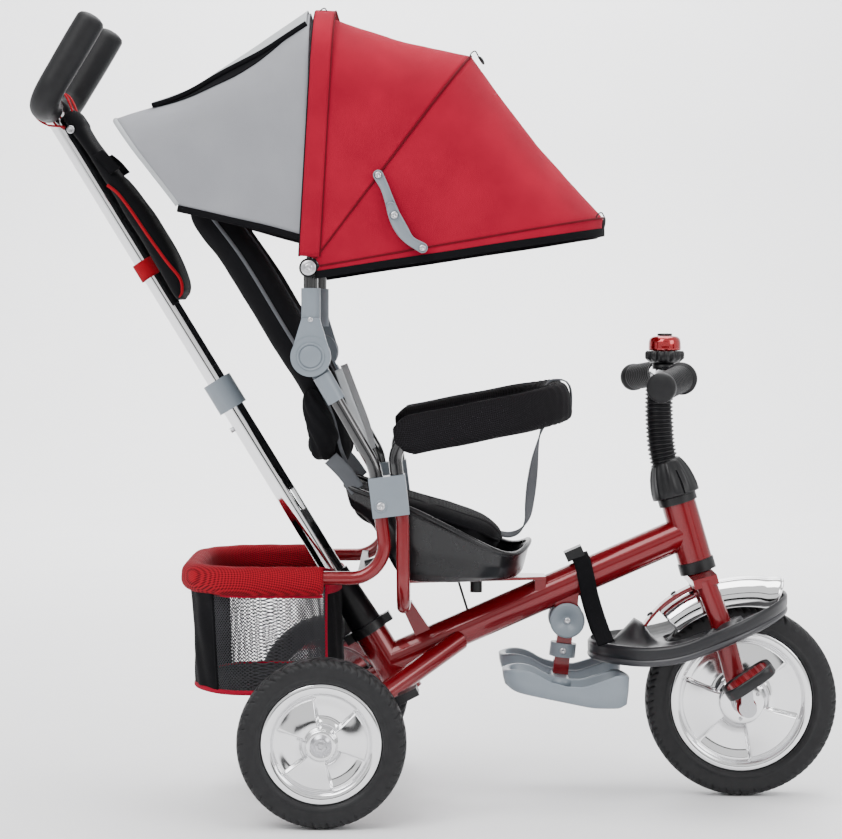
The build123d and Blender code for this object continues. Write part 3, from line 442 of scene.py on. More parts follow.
def make_materials():
    return {
        "red_paint": hard("red_paint", (0.17, 0.002, 0.006), 0.24,
                            ((0.13, 0.001, 0.004), (0.21, 0.003, 0.008), 1400, 1), None,
                          (160, 2, 0.04, 0.0004),
                            metal=0.25, coat=0.6, coat_rough=0.03, specular=0.3),
        "black_paint": hard("black_paint", (0.006, 0.006, 0.007), 0.16,
                              ((0.005, 0.005, 0.006), (0.010, 0.010, 0.011), 300), None,
                            (180, 2, 0.03, 0.0004),
                              coat=1.0, coat_rough=0.03),
        "chrome": hard("chrome", (0.86, 0.86, 0.87), 0.05, None, (0.03, 0.09, 60), metal=1.0),
        "steel": hard("steel", (0.55, 0.55, 0.57), 0.28, None, (0.2, 0.4, 500), (900, 2, 0.12, 0.0002),
                      metal=1.0),
        "plated": hard("plated_plastic", (0.84, 0.84, 0.85), 0.1, None, (0.07, 0.14, 45),
                       (26, 2, 0.05, 0.002),
                         metal=1.0),
        "tyre": hard("tyre_foam", (0.006, 0.006, 0.007), 0.55,
                       ((0.004, 0.004, 0.005), (0.009, 0.009, 0.010), 90, 6), None, (1500, 4, 0.35, 0.0004),
                       specular=0.35),
        "foam": hard("grip_foam", (0.004, 0.004, 0.005), 0.5,
                       ((0.003, 0.003, 0.004), (0.006, 0.006, 0.007), 120, 5), None, (2600, 3, 0.5, 0.0003),
                       specular=0.3),
        "black_plastic": hard("black_plastic", (0.005, 0.005, 0.006), 0.36,
                                ((0.004, 0.004, 0.005), (0.007, 0.007, 0.008), 70, 4), None,
                                (1800, 3, 0.2, 0.0002), specular=0.35),
        "shell": hard("shell_plastic", (0.004, 0.004, 0.005), 0.27, None, (0.22, 0.34, 40),
                        (1500, 3, 0.12, 0.0002), coat=0.15, coat_rough=0.12, specular=0.35),
        "ring": hard("ring_plastic", (0.008, 0.008, 0.010), 0.32, None, (0.28, 0.42, 50),
                       (1600, 3, 0.15, 0.0002), specular=0.4),
        "lip": hard("ring_lip_plastic", (0.03, 0.03, 0.034), 0.34, None, (0.28, 0.42, 50)),
        "grey": hard("grey_plastic", (0.18, 0.21, 0.24), 0.36,
                       ((0.17, 0.20, 0.23), (0.19, 0.22, 0.25), 30, 4), None, (1700, 3, 0.18, 0.0002)),
        "bell": hard("bell_red", (0.34, 0.002, 0.006), 0.16,
                     ((0.30, 0.001, 0.004), (0.38, 0.003, 0.008), 400, 1),
                       metal=0.7, coat=1.0, coat_rough=0.03),
        "red": hard("red_plastic", (0.20, 0.002, 0.006), 0.3,
                    ((0.17, 0.001, 0.004), (0.23, 0.003, 0.008), 60),
                      None, (1500, 3, 0.15, 0.0002), coat=0.4, coat_rough=0.1),
        "canopy": fabric("canopy_cloth", (0.30, 0.004, 0.022), 0.0011),
        "canopy_dark": fabric("canopy_piping", (0.11, 0.002, 0.008), 0.0011),
        "curtain": fabric("curtain_cloth", (0.27, 0.275, 0.295), 0.0011, tint=0.05),
        "curtain_pale": fabric("flap_cloth", (0.42, 0.435, 0.45), 0.0011, tint=0.05),
        "binding": fabric("black_binding", (0.003, 0.003, 0.004), 0.0014, sheen=0.0),
        "webbing": fabric("black_webbing", (0.004, 0.004, 0.005), 0.0018, strength=0.8, sheen=0.0),
        "grey_webbing": fabric("grey_webbing", (0.10, 0.105, 0.115), 0.0018, strength=0.8),
        "red_webbing": fabric("red_webbing", (0.30, 0.003, 0.010), 0.0018, strength=0.8),
        "seat_cloth": fabric("seat_cloth", (0.005, 0.005, 0.006), 0.0026, strength=0.9, sheen=0.01),
        "back_cloth": fabric("back_cloth", (0.004, 0.004, 0.005), 0.0016, sheen=0.01),
        "pad_cloth": knit("pad_mesh_cloth", (0.008, 0.007, 0.009), (0.001, 0.001, 0.001), 0.0034),
        "rim_cloth": knit("rim_mesh_cloth", (0.30, 0.003, 0.012), (0.08, 0.001, 0.004), 0.0042),
        "net": fabric("net_thread", (0.05, 0.05, 0.055), 0.0009, sheen=0.0),
    }


def knit(name, color, hole, pitch):
    """Padded spacer mesh with rows of small slanted openings."""
    material = new_material(name, color, 0.85, sheen=0.0, specular=0.15)
    height = math_node(material, "MULTIPLY_ADD", threads(material, pitch, 0.6), 0.5)
    height.node.inputs[2].default_value = 0.5
    ramp = node(material, "ShaderNodeValToRGB")
    ramp.color_ramp.elements[0].position = 0.25
    ramp.color_ramp.elements[0].color = (*hole, 1)
    ramp.color_ramp.elements[1].position = 0.6
    ramp.color_ramp.elements[1].color = (*color, 1)
    link(material, height, ramp.inputs["Fac"])
    shader = material.node_tree.nodes["Principled BSDF"]
    link(material, ramp.outputs["Color"], shader.inputs["Base Color"])
    add_bump(material, height, 0.9, 0.0008)
    return material


M = make_materials()


# ---------------------------------------------------------------- CAD nodes kept as they are

def dress(name, material):
    """Give a CAD node its material and softened edges."""
    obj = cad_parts[name]
    obj.data.materials.clear()
    obj.data.materials.append(M[material])
    for polygon in obj.data.polygons:
        polygon.use_smooth = True
    edge = obj.modifiers.new("edges", "BEVEL")
    edge.width = 0.6 * MM
    edge.segments = 2
    edge.limit_method = "ANGLE"
    edge.angle_limit = math.radians(32)
    edge.harden_normals = True
    normals = obj.modifiers.new("normals", "WEIGHTED_NORMAL")
    normals.keep_sharp = True


KEPT = {
    "red_paint": ["frame_tube", "rear_stays", "frame_brackets", "seat_tubes", "fork", "footrest_post"],
    "black_paint": ["guard_tube", "canopy_lower_posts", "canopy_frame", "handlebar"],
    "steel": ["rear_axle", "front_axle_crank", "rod_button"],
    "chrome": ["rod_lower_tube", "rod_upper_tube"],
    "grey": ["post_clamps", "hinge_lower_halves", "hinge_upper_halves", "rod_clip", "footrest_fittings"],
    "black_plastic": ["seat_hardware", "frame_collars", "canopy_mid_bow", "canopy_front_bow", "strap_buckle",
                      "brake_lever_left", "brake_lever_right"],
}
for material_name, node_names in KEPT.items():
    for node_name in node_names:
        dress(node_name, material_name)


# ---------------------------------------------------------------- camera, floor and light

def make_stage():
    camera_data = bpy.data.cameras.new("camera")
    camera = bpy.data.objects.new("camera", camera_data)
    scene.collection.objects.link(camera)
    camera.location = (-0.026, -3.4344, 0.6523)
    camera.rotation_euler = (math.radians(90) - 0.0468, 0, 0)
    camera_data.lens = 112.8
    camera_data.sensor_width = 36
    camera_data.clip_end = 50
    scene.camera = camera

    pale = new_material("floor_pale", (0.86, 0.86, 0.87), 0.55, specular=0.3)
    vary_color(pale, (0.85, 0.85, 0.86), (0.87, 0.87, 0.88), 3)
    verts = []
    profile = [(-7.0, 0.0), (4.4, 0.0)]
    profile += [(4.4 + 1.2 * math.sin(math.radians(a)), 1.2 - 1.2 * math.cos(math.radians(a)))
                for a in range(8, 91, 8)]
    profile.append((5.6, 7.0))
    for y, z in profile:
        verts += [(-9, y, z - 0.0003), (9, y, z - 0.0003)]
    floor = piece("floor", verts, grid_faces(len(profile), 2), pale)

    world = bpy.data.worlds.new("studio")
    scene.world = world
    world.use_nodes = True
    background = world.node_tree.nodes["Background"]
    background.inputs["Color"].default_value = (1, 1, 1, 1)
    background.inputs["Strength"].default_value = 1.05
    lamps = [  # name, place, target, size and power
        ("key", (-1.6, -2.2, 3.2), (0, 0, 0.4), 2.4, 120),
        ("fill", (2.6, -2.0, 1.8), (0.2, 0, 0.4), 1.6, 45),
        ("top", (0.3, 0.6, 3.4), (0, 0, 0), 2.4, 110),
        ("back", (0, 3.6, 3.6), (0, 5.6, 1.2), 3.0, 330)]
    for name, place, target, size, power in lamps:
        data = bpy.data.lights.new(name, "AREA")
        data.size = size
        data.energy = power
        lamp = bpy.data.objects.new(name, data)
        lamp.location = place
        lamp.rotation_euler = (Vector(target) - Vector(place)).to_track_quat("-Z", "Y").to_euler()
        scene.collection.objects.link(lamp)


make_stage()


def make_cards():
    """Dark studio cards out of the picture, for the plated parts to mirror."""
    card = new_material("card_black", (0.004, 0.004, 0.004), 0.9, specular=0.1)
    cards = [  # name, middle, and half its size along X, Y and Z
        ("card_low", (0.2, -5.2, 0.35), (2.5, 0, 0.275)),
        ("card_high", (0, -5.4, 3.0), (3.0, 0, 0.25)),
        ("card_left", (-3.6, -2.4, 1.0), (0, 0.35, 1.1)),
        ("card_right", (3.6, -2.0, 1.0), (0, 0.3, 1.1))]
    for name, middle, (w, d, h) in cards:
        verts = [Vector(middle) + Vector((a * w, a * d, b * h)) for a,
                 b in ((-1, -1), (1, -1), (1, 1), (-1, 1))]
        board = piece(name, verts, [(0, 1, 2, 3)], card)
        board.visible_camera = False


make_cards()


# ---------------------------------------------------------------- wheels

FRONT_HUB = vec(392, 0, 125)
REAR_HUB = {"left": vec(-148, 220, 105), "right": vec(-148, -220, 105)}


def wheel_point(centre, angle, r, y):
    return centre + Vector((math.cos(angle) * r, y, math.sin(angle) * r)) * MM


def make_tyre(name, node_name, body, centre, radius, height, blocks):
    """Foam tyre with two rows of wavy tread blocks that run down the shoulders."""
    low = radius - height
    half = 22.0
    outline = [(low + 0.4, -16.5), (low + 1.5, -18.5), (low + 4, -20.4), (low + 7, -21.2),
               (low + 8, -20.7), (radius - 13, -22.0), (radius - 9, -22.2), (radius - 6, -21.4),
               (radius - 3.6, -19.4), (radius - 2, -16.4), (radius - 1, -12), (radius - 0.6, -7),
               (radius - 0.4, -2.4)]
    fine = []
    for a, b in zip(outline, outline[1:]):
        fine += [(mix(a[0], b[0], k / 3), mix(a[1], b[1], k / 3)) for k in range(3)]
    fine.append(outline[-1])
    section = fine + [(r, -y) for r, y in reversed(fine)] + [(low + 0.4, 10), (low + 0.4, -10)]
    steps = blocks * 14

    def groove(angle, y):
        shift = 0.5 if y > 0 else 0.0
        wave = 0.16 * math.sin(abs(y) * 0.33)
        x = (angle / TAU * blocks + shift + wave) % 1.0
        cut = ease(0.80, 0.93, abs(2 * x - 1))
        notch = 0.55 * ease(0.80, 0.95, 1 - abs(2 * x - 1)) * ease(10, 15, abs(y))
        middle = 1 - ease(1.2, 2.6, abs(y - 2.4 * math.sin(angle * blocks)))
        return max(cut, notch, middle)

    verts = []
    for i in range(steps):
        angle = TAU * i / steps
        for r, y in section:
            depth = 3.0 * ease(radius - 11.5, radius - 5, r) * groove(angle, y)
            squeeze = 1 - 0.06 * depth / 3.0 if abs(y) > 17 else 1.0
            verts.append(wheel_point(centre, angle, r - depth, y * squeeze))
    return piece(name, verts, grid_faces(steps, len(section), True, True), M["tyre"], body, [node_name])


def dish_height(r, angle, outer, inner, hub, first_window):
    """How far a wheel's face stands from its middle plane, in mm."""
    ring = 16.5 - 4.5 * (1 - ease(inner, inner + 5, r)) - 2.0 * ease(outer - 3, outer, r)
    turn = ((math.degrees(angle) - first_window + 60) % 120) - 60
    edge = 28 - turn if turn > 0 else 28 + turn
    arc = math.radians(edge) * r
    inside = ease(-1.4, 1.4, arc)
    out = min(1, max(0, (r - hub) / (inner - hub)))
    petal = mix(17.5, 11.5, ease(hub, inner, r)) + 1.2 * math.sin(math.pi * out)
    pocket = mix(13.0, 5.5, ease(hub, hub + 14, r)) + 2.5 * ease(inner - 14, inner - 2, r)
    face = mix(petal, pocket, inside * ease(hub + 1, hub + 5, r))
    gutter = 1 - ease(inner - 3.2, inner - 1.6, r)
    face = mix(8.0, face, gutter)
    if r > inner:
        return mix(8.0, ring, ease(inner, inner + 1.6, r))
    if r < hub + 1.6:
        return mix(face, 22.0 - 0.8 * ease(hub - 3, hub, r), 1 - ease(hub, hub + 1.6, r))
    return face


def make_dish(name, nodes, body, centre, outer, inner, hub, first_window, both_sides, out_sign):
    """The plated wheel body: ring, gutter, three wide petals with pockets between, and hub disc."""
    radii = [3.0, hub * 0.5, hub - 3, hub - 1.2, hub, hub + 0.8, hub + 1.6, hub + 3, hub + 5]
    radii += [mix(hub + 5, inner - 4, k / 12) for k in range(1, 13)]
    radii += [inner - 3.2, inner - 2.4, inner - 1.6, inner - 0.8, inner, inner + 0.8, inner + 1.6, inner + 3,
              inner + 5, mix(inner, outer, 0.6), outer - 3, outer - 1.5, outer]
    steps = 240
    faces = []
    verts = []
    for sign in (out_sign, -out_sign):
        detailed = both_sides or sign == out_sign
        for r in radii:
            for k in range(steps):
                angle = TAU * k / steps
                if detailed:
                    h = dish_height(r, angle, outer, inner, hub, first_window)
                else:
                    h = 15.0 if r < 14 else mix(3.0, 15.0, ease(inner, inner + 3, r))
                verts.append(wheel_point(centre, angle, r, sign * h))
    n = len(radii)
    faces += grid_faces(n, steps, False, True)
    faces += grid_faces(n, steps, False, True, first=n * steps)
    for k in range(steps):
        k2 = (k + 1) % steps
        a, b = (n - 1) * steps, (2 * n - 1) * steps
        faces.append((a + k, a + k2, b + k2, b + k))
        faces.append((k, n * steps + k, n * steps + k2, k2))
    return piece(name, verts, faces, M["plated"], body, nodes)


def screw(name, centre, axis, radius, material, body, height=3.0):
    """A domed screw head with a round recess."""
    shape = [(1, 0), (1, 0.45), (0.92, 0.72), (0.7, 0.92), (0.42, 1), (0.40, 0.55)]
    profile = [(radius * r, height * h) for r, h in shape] + [(0.05, height * 0.5)]
    return lathe(name, profile, centre, axis, M[material], 24, body=body)


def make_wheels():
    make_tyre("front_tyre_treaded", "front_tyre", "front_wheel", FRONT_HUB, 125, 32, 40)
    make_dish("front_wheel_dish", ["front_rim", "front_wheel_covers"], "front_wheel", FRONT_HUB, 93.6, 79,
              28.5, 11,
              True, -1)
    for sign in (-1, 1):
        for k in range(3):
            angle = math.radians(25 + 120 * k)
            spot = wheel_point(FRONT_HUB, angle, 22.5, sign * 22.0)
            screw(f"front_hub_screw_{'lr'[sign > 0]}{k}", spot, (0, sign, 0), 2.6, "steel", "front_wheel",
                  1.2)
        profile = [(14.5, 0), (14.5, 2.5), (12.5, 3.4), (12.0, 3.0), (9.5, 3.0), (9.5, 6.0), (8.2, 7.2),
                   (0.1, 7.6)]
        lathe(f"front_hub_cap_{'lr'[sign > 0]}", profile, wheel_point(FRONT_HUB, 0, 0, sign * 21.8),
              (0, sign, 0), M["steel"], 40, body="front_wheel")
    for side, sign in (("left", 1), ("right", -1)):
        body = f"rear_wheel_{side[0]}"
        centre = REAR_HUB[side]
        make_tyre(f"rear_tyre_treaded_{side}", f"rear_tyre_{side}", body, centre, 105, 30, 34)
        nodes = [f"rear_rim_{side}", f"rear_wheel_cover_{side}"]
        make_dish(f"rear_wheel_dish_{side}", nodes, body, centre, 75.6, 59, 19.5, 71, False, sign)


make_wheels()


# ---------------------------------------------------------------- canopy

PIVOT = (-164.8, 687.0)
REAR_BOW = (88.0, 320.6)
MID_BOW = (52.9, 334.6)
FRONT_BOW = (9.8, 374.0)
CANOPY_Y = 173.0
CORNER = 92.0


def bow_point(angle, reach, s, start=14.0, half=CANOPY_Y, corner=CORNER):
    """A point on a bow's cloth line, s from 0 on the near side to 1 on the far side."""
    straight, arc, top = reach - corner - start, math.pi / 2 * corner, 2 * (half - corner)
    total = 2 * (straight + arc) + top
    d = s * total
    far = d > total / 2
    if far:
        d = total - d
    if d < straight:
        r, y = start + d, -half
    elif d < straight + arc:
        a = (d - straight) / corner
        r = start + straight + corner * math.sin(a)
        y = -half + corner * (1 - math.cos(a))
    else:
        r, y = reach, -half + corner + d - straight - arc
    if far:
        y = -y
    a = math.radians(angle)
    return vec(PIVOT[0] + r * math.cos(a), y, PIVOT[1] + r * math.sin(a))


def cloth_between(first, second, sag, seed):
    """place(u, v) for cloth pulled between two bows: u from first to second, v across."""
    def place(u, v):
        a = bow_point(first[0], first[1], v)
        b = bow_point(second[0], second[1], v)
        p = a.lerp(b, u)
        middle = vec(PIVOT[0], 0, PIVOT[1]).lerp(p, 0.35)
        middle.y = p.y * 0.75
        inward = (middle - p).normalized()
        reach = min(1, (p - vec(PIVOT[0], p.y / MM, PIVOT[1])).length / 0.3)
        pull = sag * math.sin(math.pi * u) * reach
        tight = math.sin(math.pi * u) ** 0.5 if 0 < u < 1 else 0
        ripple = 0.9 * noisy(p, 22, seed) * tight + 0.5 * noisy(p, 60, seed + 7) * tight
        return p + inward * (pull + ripple) * MM
    return place


def bow_line(angle, reach, count, s0=0.0, s1=1.0, out=0.0):
    return [bow_point(angle, reach + out, mix(s0, s1, i / (count - 1)), half=CANOPY_Y + out)
            for i in range(count)]


def make_canopy():
    rear = cloth_between(REAR_BOW, MID_BOW, 5.0, 1.0)
    rear_cloth = surface("canopy_cloth_rear", rear, 30, 150, M["canopy"], nodes=["canopy_rear_panel"],
                         thickness=1.2)
    rear_mid = bow_point(*REAR_BOW, 0.5)
    mid_mid = bow_point(*MID_BOW, 0.5)
    front_mid = bow_point(*FRONT_BOW, 0.5)
    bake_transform(rear_cloth)

    # The front cloth runs on past the front bow to a short valance.
    body_cloth = cloth_between(MID_BOW, FRONT_BOW, 6.0, 4.0)
    valance = 0.86

    def front(u, v):
        if u <= valance:
            return body_cloth(u / valance, v)
        edge = bow_point(*FRONT_BOW, v)
        low = bow_point(FRONT_BOW[0] - 1.2, FRONT_BOW[1], v, start=8) + vec(0, 0, -8)
        t = (u - valance) / (1 - valance)
        return edge.lerp(low, t) + vec(1.2 * math.sin(v * 46) * t, 0, 0)

    front_cloth = surface("canopy_cloth_front", front, 34, 150, M["canopy"], nodes=["canopy_front_panel"],
                          thickness=1.2)
    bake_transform(front_cloth)
    # Bindings, pocket bands, seams and a painted shadow line.
    hem = [front(1.0, i / 159) + Vector((0, 0, -0.002)) for i in range(160)]
    hem = band("canopy_front_hem", hem, (0, 0, 1), 9.5, M["binding"], 3.0, body="front_bow")
    pocket_path = bow_line(86.6, 323, 120, out=1.2)
    band_dirs = [Vector((math.cos(math.radians(-3)), 0, math.sin(math.radians(-3))))] * len(pocket_path)
    pocket = band("canopy_pocket_band", pocket_path, band_dirs, 25, M["canopy"], 2.6, body="canopy")
    # The first line, black on the curtain side of the pocket band, is a painted shadow line where the
    # curtain meets the canopy; the second is dark red piping.
    for index, offset in enumerate((-12.5, 12.5)):
        line = [p + Vector((offset * MM, 0, 0)) for p in pocket_path]
        tube(f"canopy_pocket_piping_and_painted_shadow_{index}", line, 1.4, M["binding" if index == 0 else "canopy_dark"], 8,
             body="canopy")
    tube("canopy_mid_seam", bow_line(*MID_BOW, 130, out=0.8), 1.3, M["canopy_dark"], 8, body="mid_bow")
    tube("canopy_front_seam", bow_line(*FRONT_BOW, 130, out=0.8), 1.3, M["canopy_dark"], 8, body="front_bow")
    declare(rear)
    declare(front)


CURTAIN_TIP = (-414.0, 876.0)
CURTAIN_LOW = (-331.0, 766.0)


def tail_point(v):
    """The curtain's rear edge, v from the near lower corner over the top to the far one."""
    half, corner = 128.0, 62.0
    a = math.atan2(CURTAIN_TIP[1] - CURTAIN_LOW[1], CURTAIN_TIP[0] - CURTAIN_LOW[0])
    length = math.hypot(CURTAIN_TIP[0] - CURTAIN_LOW[0], CURTAIN_TIP[1] - CURTAIN_LOW[1])
    straight, arc, top = length - corner, math.pi / 2 * corner, 2 * (half - corner)
    total = 2 * (straight + arc) + top
    d = v * total
    far = d > total / 2
    if far:
        d = total - d
    if d < straight:
        r, y = d, -half
    elif d < straight + arc:
        b = (d - straight) / corner
        r = straight + corner * math.sin(b)
        y = -half + corner * (1 - math.cos(b))
    else:
        r, y = length, -half + corner + d - straight - arc
    if far:
        y = -y
    return vec(CURTAIN_LOW[0] + r * math.cos(a), y, CURTAIN_LOW[1] + r * math.sin(a))


def curtain_place(u, v, lift=0.0):
    """The rear curtain: u from the rear bow to its free edge, v from side to side."""
    s = mix(0.028, 0.972, v)
    a = bow_point(90.0, 321, s)
    b = tail_point(v)
    p = a.lerp(b, u)
    top = max(0.0, math.sin(math.pi * v)) ** 2
    sag = 17 * math.sin(math.pi * u) * (0.35 + 0.65 * top)
    fold = 2.4 * math.sin(u * 9 + v * 21) * math.sin(math.pi * u) + 2.0 * noisy(p, 16, 9)
    inward = (vec(-230, p.y * 0.6 / MM, 760) - p).normalized()
    return p + inward * (sag + fold - lift) * MM


def make_curtain():
    cloth = surface("canopy_curtain_cloth", curtain_place, 34, 120, M["curtain"], nodes=["canopy_curtain"],
                    thickness=1.1, body="canopy")
    for index, v in enumerate((0.0, 1.0)):
        line = [curtain_place(i / 39, v) + Vector((0, 0, -0.004)) for i in range(40)]
        tube(f"curtain_hem_{index}", line, 2.0, M["binding"], 8, flat=2.4, body="canopy")
    edge = [curtain_place(1.0, i / 79) for i in range(80)]
    tube("curtain_rear_hem", edge, 2.0, M["curtain_pale"], 8, flat=1.6, body="canopy")

    # The pale top flap with the black-bound vent under its edge.
    def flap(u, v):
        return curtain_place(mix(0.02, 0.82, u), mix(0.33, 0.67, v), lift=5.5 + 3 * math.sin(math.pi * v))
    top_flap = surface("curtain_top_flap", flap, 22, 40, M["curtain_pale"], thickness=1.2, body="canopy")
    declare(flap)
    for index, (v0, side) in enumerate(((0.33, -1), (0.67, 1))):
        line = [flap(i / 29, 0.0 if side < 0 else 1.0) for i in range(30)]
        tube(f"curtain_flap_binding_{index}", line, 1.8, M["binding"], 8, flat=1.8, body="canopy")

        def vent(u, v, v0=v0, side=side):
            wide = 0.03 * math.sin(math.pi * u)
            return curtain_place(mix(0.12, 0.80, u), v0 + side * (v - 0.2) * wide, lift=1.8)
        surface(f"curtain_vent_{index}", vent, 26, 8, M["binding"], thickness=0.8,
                             body="canopy")

    declare(curtain_place)


def make_clips():
    """A loop of cord over each bow with a small black toggle on its end."""
    spots = [  # name, bow, body, place along the bow, and how far the toggle hangs in X and Z
        ("peak", REAR_BOW, "canopy", 0.38, (10, -6)),
        ("mid", MID_BOW, "mid_bow", 0.38, (7, -10)),
        ("front", FRONT_BOW, "front_bow", 0.37, (-2, -14))]
    for label, (angle, reach), body, at, hang in spots:
        for side, s in (("near", at), ("far", 1 - at)):
            foot = bow_point(angle, reach + 1, s)
            end = foot + vec(11, 0, 1)
            loop = smooth_path([foot, foot + vec(2, 0, 5), foot + vec(7, 0, 7.5), end], 24)
            tube(f"canopy_loop_{label}_{side}", loop, 0.8, M["black_plastic"], 8, body=body)
            line = [end, end + vec(hang[0] * 0.5, 0, hang[1] * 0.4), end + vec(hang[0], 0, hang[1])]
            tube(f"canopy_toggle_{label}_{side}", smooth_path(line, 20),
                 lambda t, a: 1.0 + 1.3 * math.sin(math.pi * t) ** 0.6, M["black_plastic"], 10, body=body)


make_canopy()
make_curtain()
make_clips()


# ---------------------------------------------------------------- seat

SHELL = [  # top X, Z; bottom X, Z; half width at the lip and at the bottom
    (-121, 414, -119, 408, 108, 104), (-118, 412, -113, 386, 114, 104), (-100, 405, -97, 373, 119, 100),
    (-70, 395, -80, 352, 122, 97), (-37, 383, -50, 297, 122, 94), (4, 363, 0, 290, 122, 93),
    (35, 347, 35, 290, 120, 89), (58, 335, 56, 290, 114, 81), (78, 326, 74, 290, 100, 70),
    (95, 323, 88, 291, 76, 54), (107, 327, 98, 293, 48, 34), (113, 332, 104, 297, 22, 15),
    (115, 334, 106, 300, 1, 1)]


def station(table, u):
    """Values between the rows of a table, u from 0 to 1."""
    x = u * (len(table) - 1)
    k = min(int(x), len(table) - 2)
    rows = [table[max(0, k - 1)], table[k], table[k + 1], table[min(len(table) - 1, k + 2)]]
    return [between(*values, x - k) for values in zip(*rows)]


def shell_place(u, v):
    xt, zt, xb, zb, wt, wb = station(SHELL, u)
    outline = [(1.03, 1.0), (1.0, 0.9), (0.82, 0.5), (0.35, 0.12), (0.0, 0.0), (-1.0, 0.0)]
    side = -1 if v < 0.5 else 1
    s = 1 - abs(2 * v - 1)
    if s < 0.72:
        t = s / 0.72 * 4
        k = min(int(t), 3)
        a, b = outline[k], outline[k + 1]
        blend = t - k
        reach, height = mix(a[0], b[0], blend), mix(a[1], b[1], blend)
        y = mix(wb, wt, reach)
    else:
        height = 0.0
        y = wb * (1 - (s - 0.72) / 0.28)
    return vec(mix(xb, xt, height), side * y, mix(zb, zt, height))


def make_seat():
    surface("seat_shell_moulded", shell_place, 62, 81, M["shell"], nodes=["seat_shell"], thickness=3.2,
            subdivide=1, body="frame")
    lip = [shell_place(i / 59, 0.0) for i in range(60)]
    lip += [shell_place(1 - i / 59, 1.0) for i in range(60)]
    lip = smooth_path(lip[::4], 150)
    tube("seat_shell_lip", lip, 3.6, M["shell"], 12, body="frame")
    groove = [shell_place(mix(0.3, 0.9, i / 39), 0.055) + Vector((0, -0.0012, 0)) for i in range(40)]
    tube("seat_shell_rib_near", groove, 1.5, M["shell"], 8, body="frame")
    groove = [Vector((p.x, -p.y, p.z)) for p in groove]
    tube("seat_shell_rib_far", groove, 1.5, M["shell"], 8, body="frame")

    line = smooth_path([vec(x, 0, z) for x, z in ((-112, 398), (-75, 391), (-39, 380), (0, 369), (25, 361),
                                                 (56, 351), (80, 339))], 40)

    def cushion_at(u, v):
        k = u * 39
        i = min(int(k), 38)
        p = line[i].lerp(line[i + 1], k - i)
        half = 103 * (1 - 0.42 * ease(0.72, 1.0, u) ** 1.5)
        return Vector((p.x - 0.010 * (2 * v - 1) ** 2 * ease(0.7, 1, u), half * (2 * v - 1) * MM, p.z))

    def channels(u, v, sign):
        across = abs(2 * v - 1)
        seam = -3.2 * math.exp(-((across - 0.62) / 0.035) ** 2)
        tuft = -2.6 * math.exp(-((u - 0.48) / 0.03) ** 2) * (1 - ease(0.5, 0.62, across))
        return (seam + tuft if sign > 0 else 0) + 0.5 * noisy((u, v, 0), 9, 3)

    cushion = pillow("seat_cushion_padded", cushion_at, (0.28, 0, 0.96), 14, M["seat_cloth"], 54, 54, 6, 2.6,
                     channels, nodes=["seat_cushion"], body="frame", subdivide=1)
    edge = [cushion_at(0.004 + 0.99 * i / 40, 0.006) for i in range(41)]
    edge += [cushion_at(0.994, 0.006 + 0.988 * i / 30) for i in range(31)]
    edge += [cushion_at(0.994 - 0.99 * i / 40, 0.994) for i in range(41)]
    tube("seat_cushion_piping", smooth_path(edge[::5], 120), 2.0, M["binding"], 8, body="frame")


def make_guard():
    """The padded bar and the webbing from its front to the seat."""
    front = vec(152, 0, 517)
    path = corner_path([vec(-58, -150, 476), vec(151, -139, 516.5), vec(151, 139, 516.5),
                        vec(-58, 150, 476)],
                       92, 150)

    def radius(t, angle):
        from_end = min(t, 1 - t)
        end = from_end / 0.035
        taper = 1 if end > 1 else 0.55 + 0.45 * math.sin(end * math.pi / 2)
        off = (from_end - 0.36) / 0.05
        wrinkle = 0.5 * math.sin(t * 260 + 2 * math.sin(angle * 2)) * math.exp(-off ** 2)
        return oval(angle, 15.5, 24.5, 3.4) * taper + wrinkle + 0.35 * math.sin(t * 47 + angle * 3)

    pad = tube("guard_pad_quilted", path, radius, M["pad_cloth"], 40, nodes=["guard_pad"], body="guard",
               round_ends=0.25)
    frames = transported(path, (0, 1, 0))
    for name, angle in (("top", math.pi / 2), ("low", -math.pi / 2)):
        seam = []
        for i, (p, (a, b)) in enumerate(zip(path, frames)):
            r = radius(i / 149, angle) + 0.3
            seam.append(p + (a * math.cos(angle) + b * math.sin(angle)) * r * MM)
        tube(f"guard_pad_seam_{name}", seam[4:-4], 0.9, M["binding"], 8, body="guard")
    ring = []
    for k in range(28):
        a = TAU * k / 28
        reach = oval(a, 17.5, 26.5, 3)
        ring.append(front + vec(math.cos(a) * reach, 0, math.sin(a) * reach))
    strap("guard_strap_loop", ring + [ring[0]], (0, 1, 0), 30, M["grey_webbing"], 1.8, "stretched",
          ["guard_pad_quilted"], body="guard")
    drop = smooth_path([vec(140, 0, 492), vec(131, 1, 478), vec(124, 3, 450), vec(120, 4, 420),
                        vec(116, 2, 385), vec(113, 0, 362), vec(104, 0, 347), vec(90, 0, 341),
                        vec(74, 0, 343)], 60)
    turns = [Vector((0.5 * math.sin(math.pi * i / 59) ** 2, 1, 0.12)) for i in range(60)]
    webbing = strap("crotch_strap", drop, turns, 30, M["grey_webbing"], 1.8, "hung", ["guard_strap_loop"])
    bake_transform(webbing)


# ---------------------------------------------------------------- backrest

BACK = [  # X and Z of the middle line, half depth at the sides, half width
    (-306, 776, 14, 96), (-296, 758, 26, 108), (-252, 699, 27, 115), (-205, 622, 27, 117),
    (-168, 560, 25, 116), (-141, 505, 22, 112), (-130, 462, 18, 106), (-122, 441, 8, 100)]


def back_place(u, v):
    x, z, depth, half = station(BACK, u)
    return vec(x, half * (2 * v - 1), z)


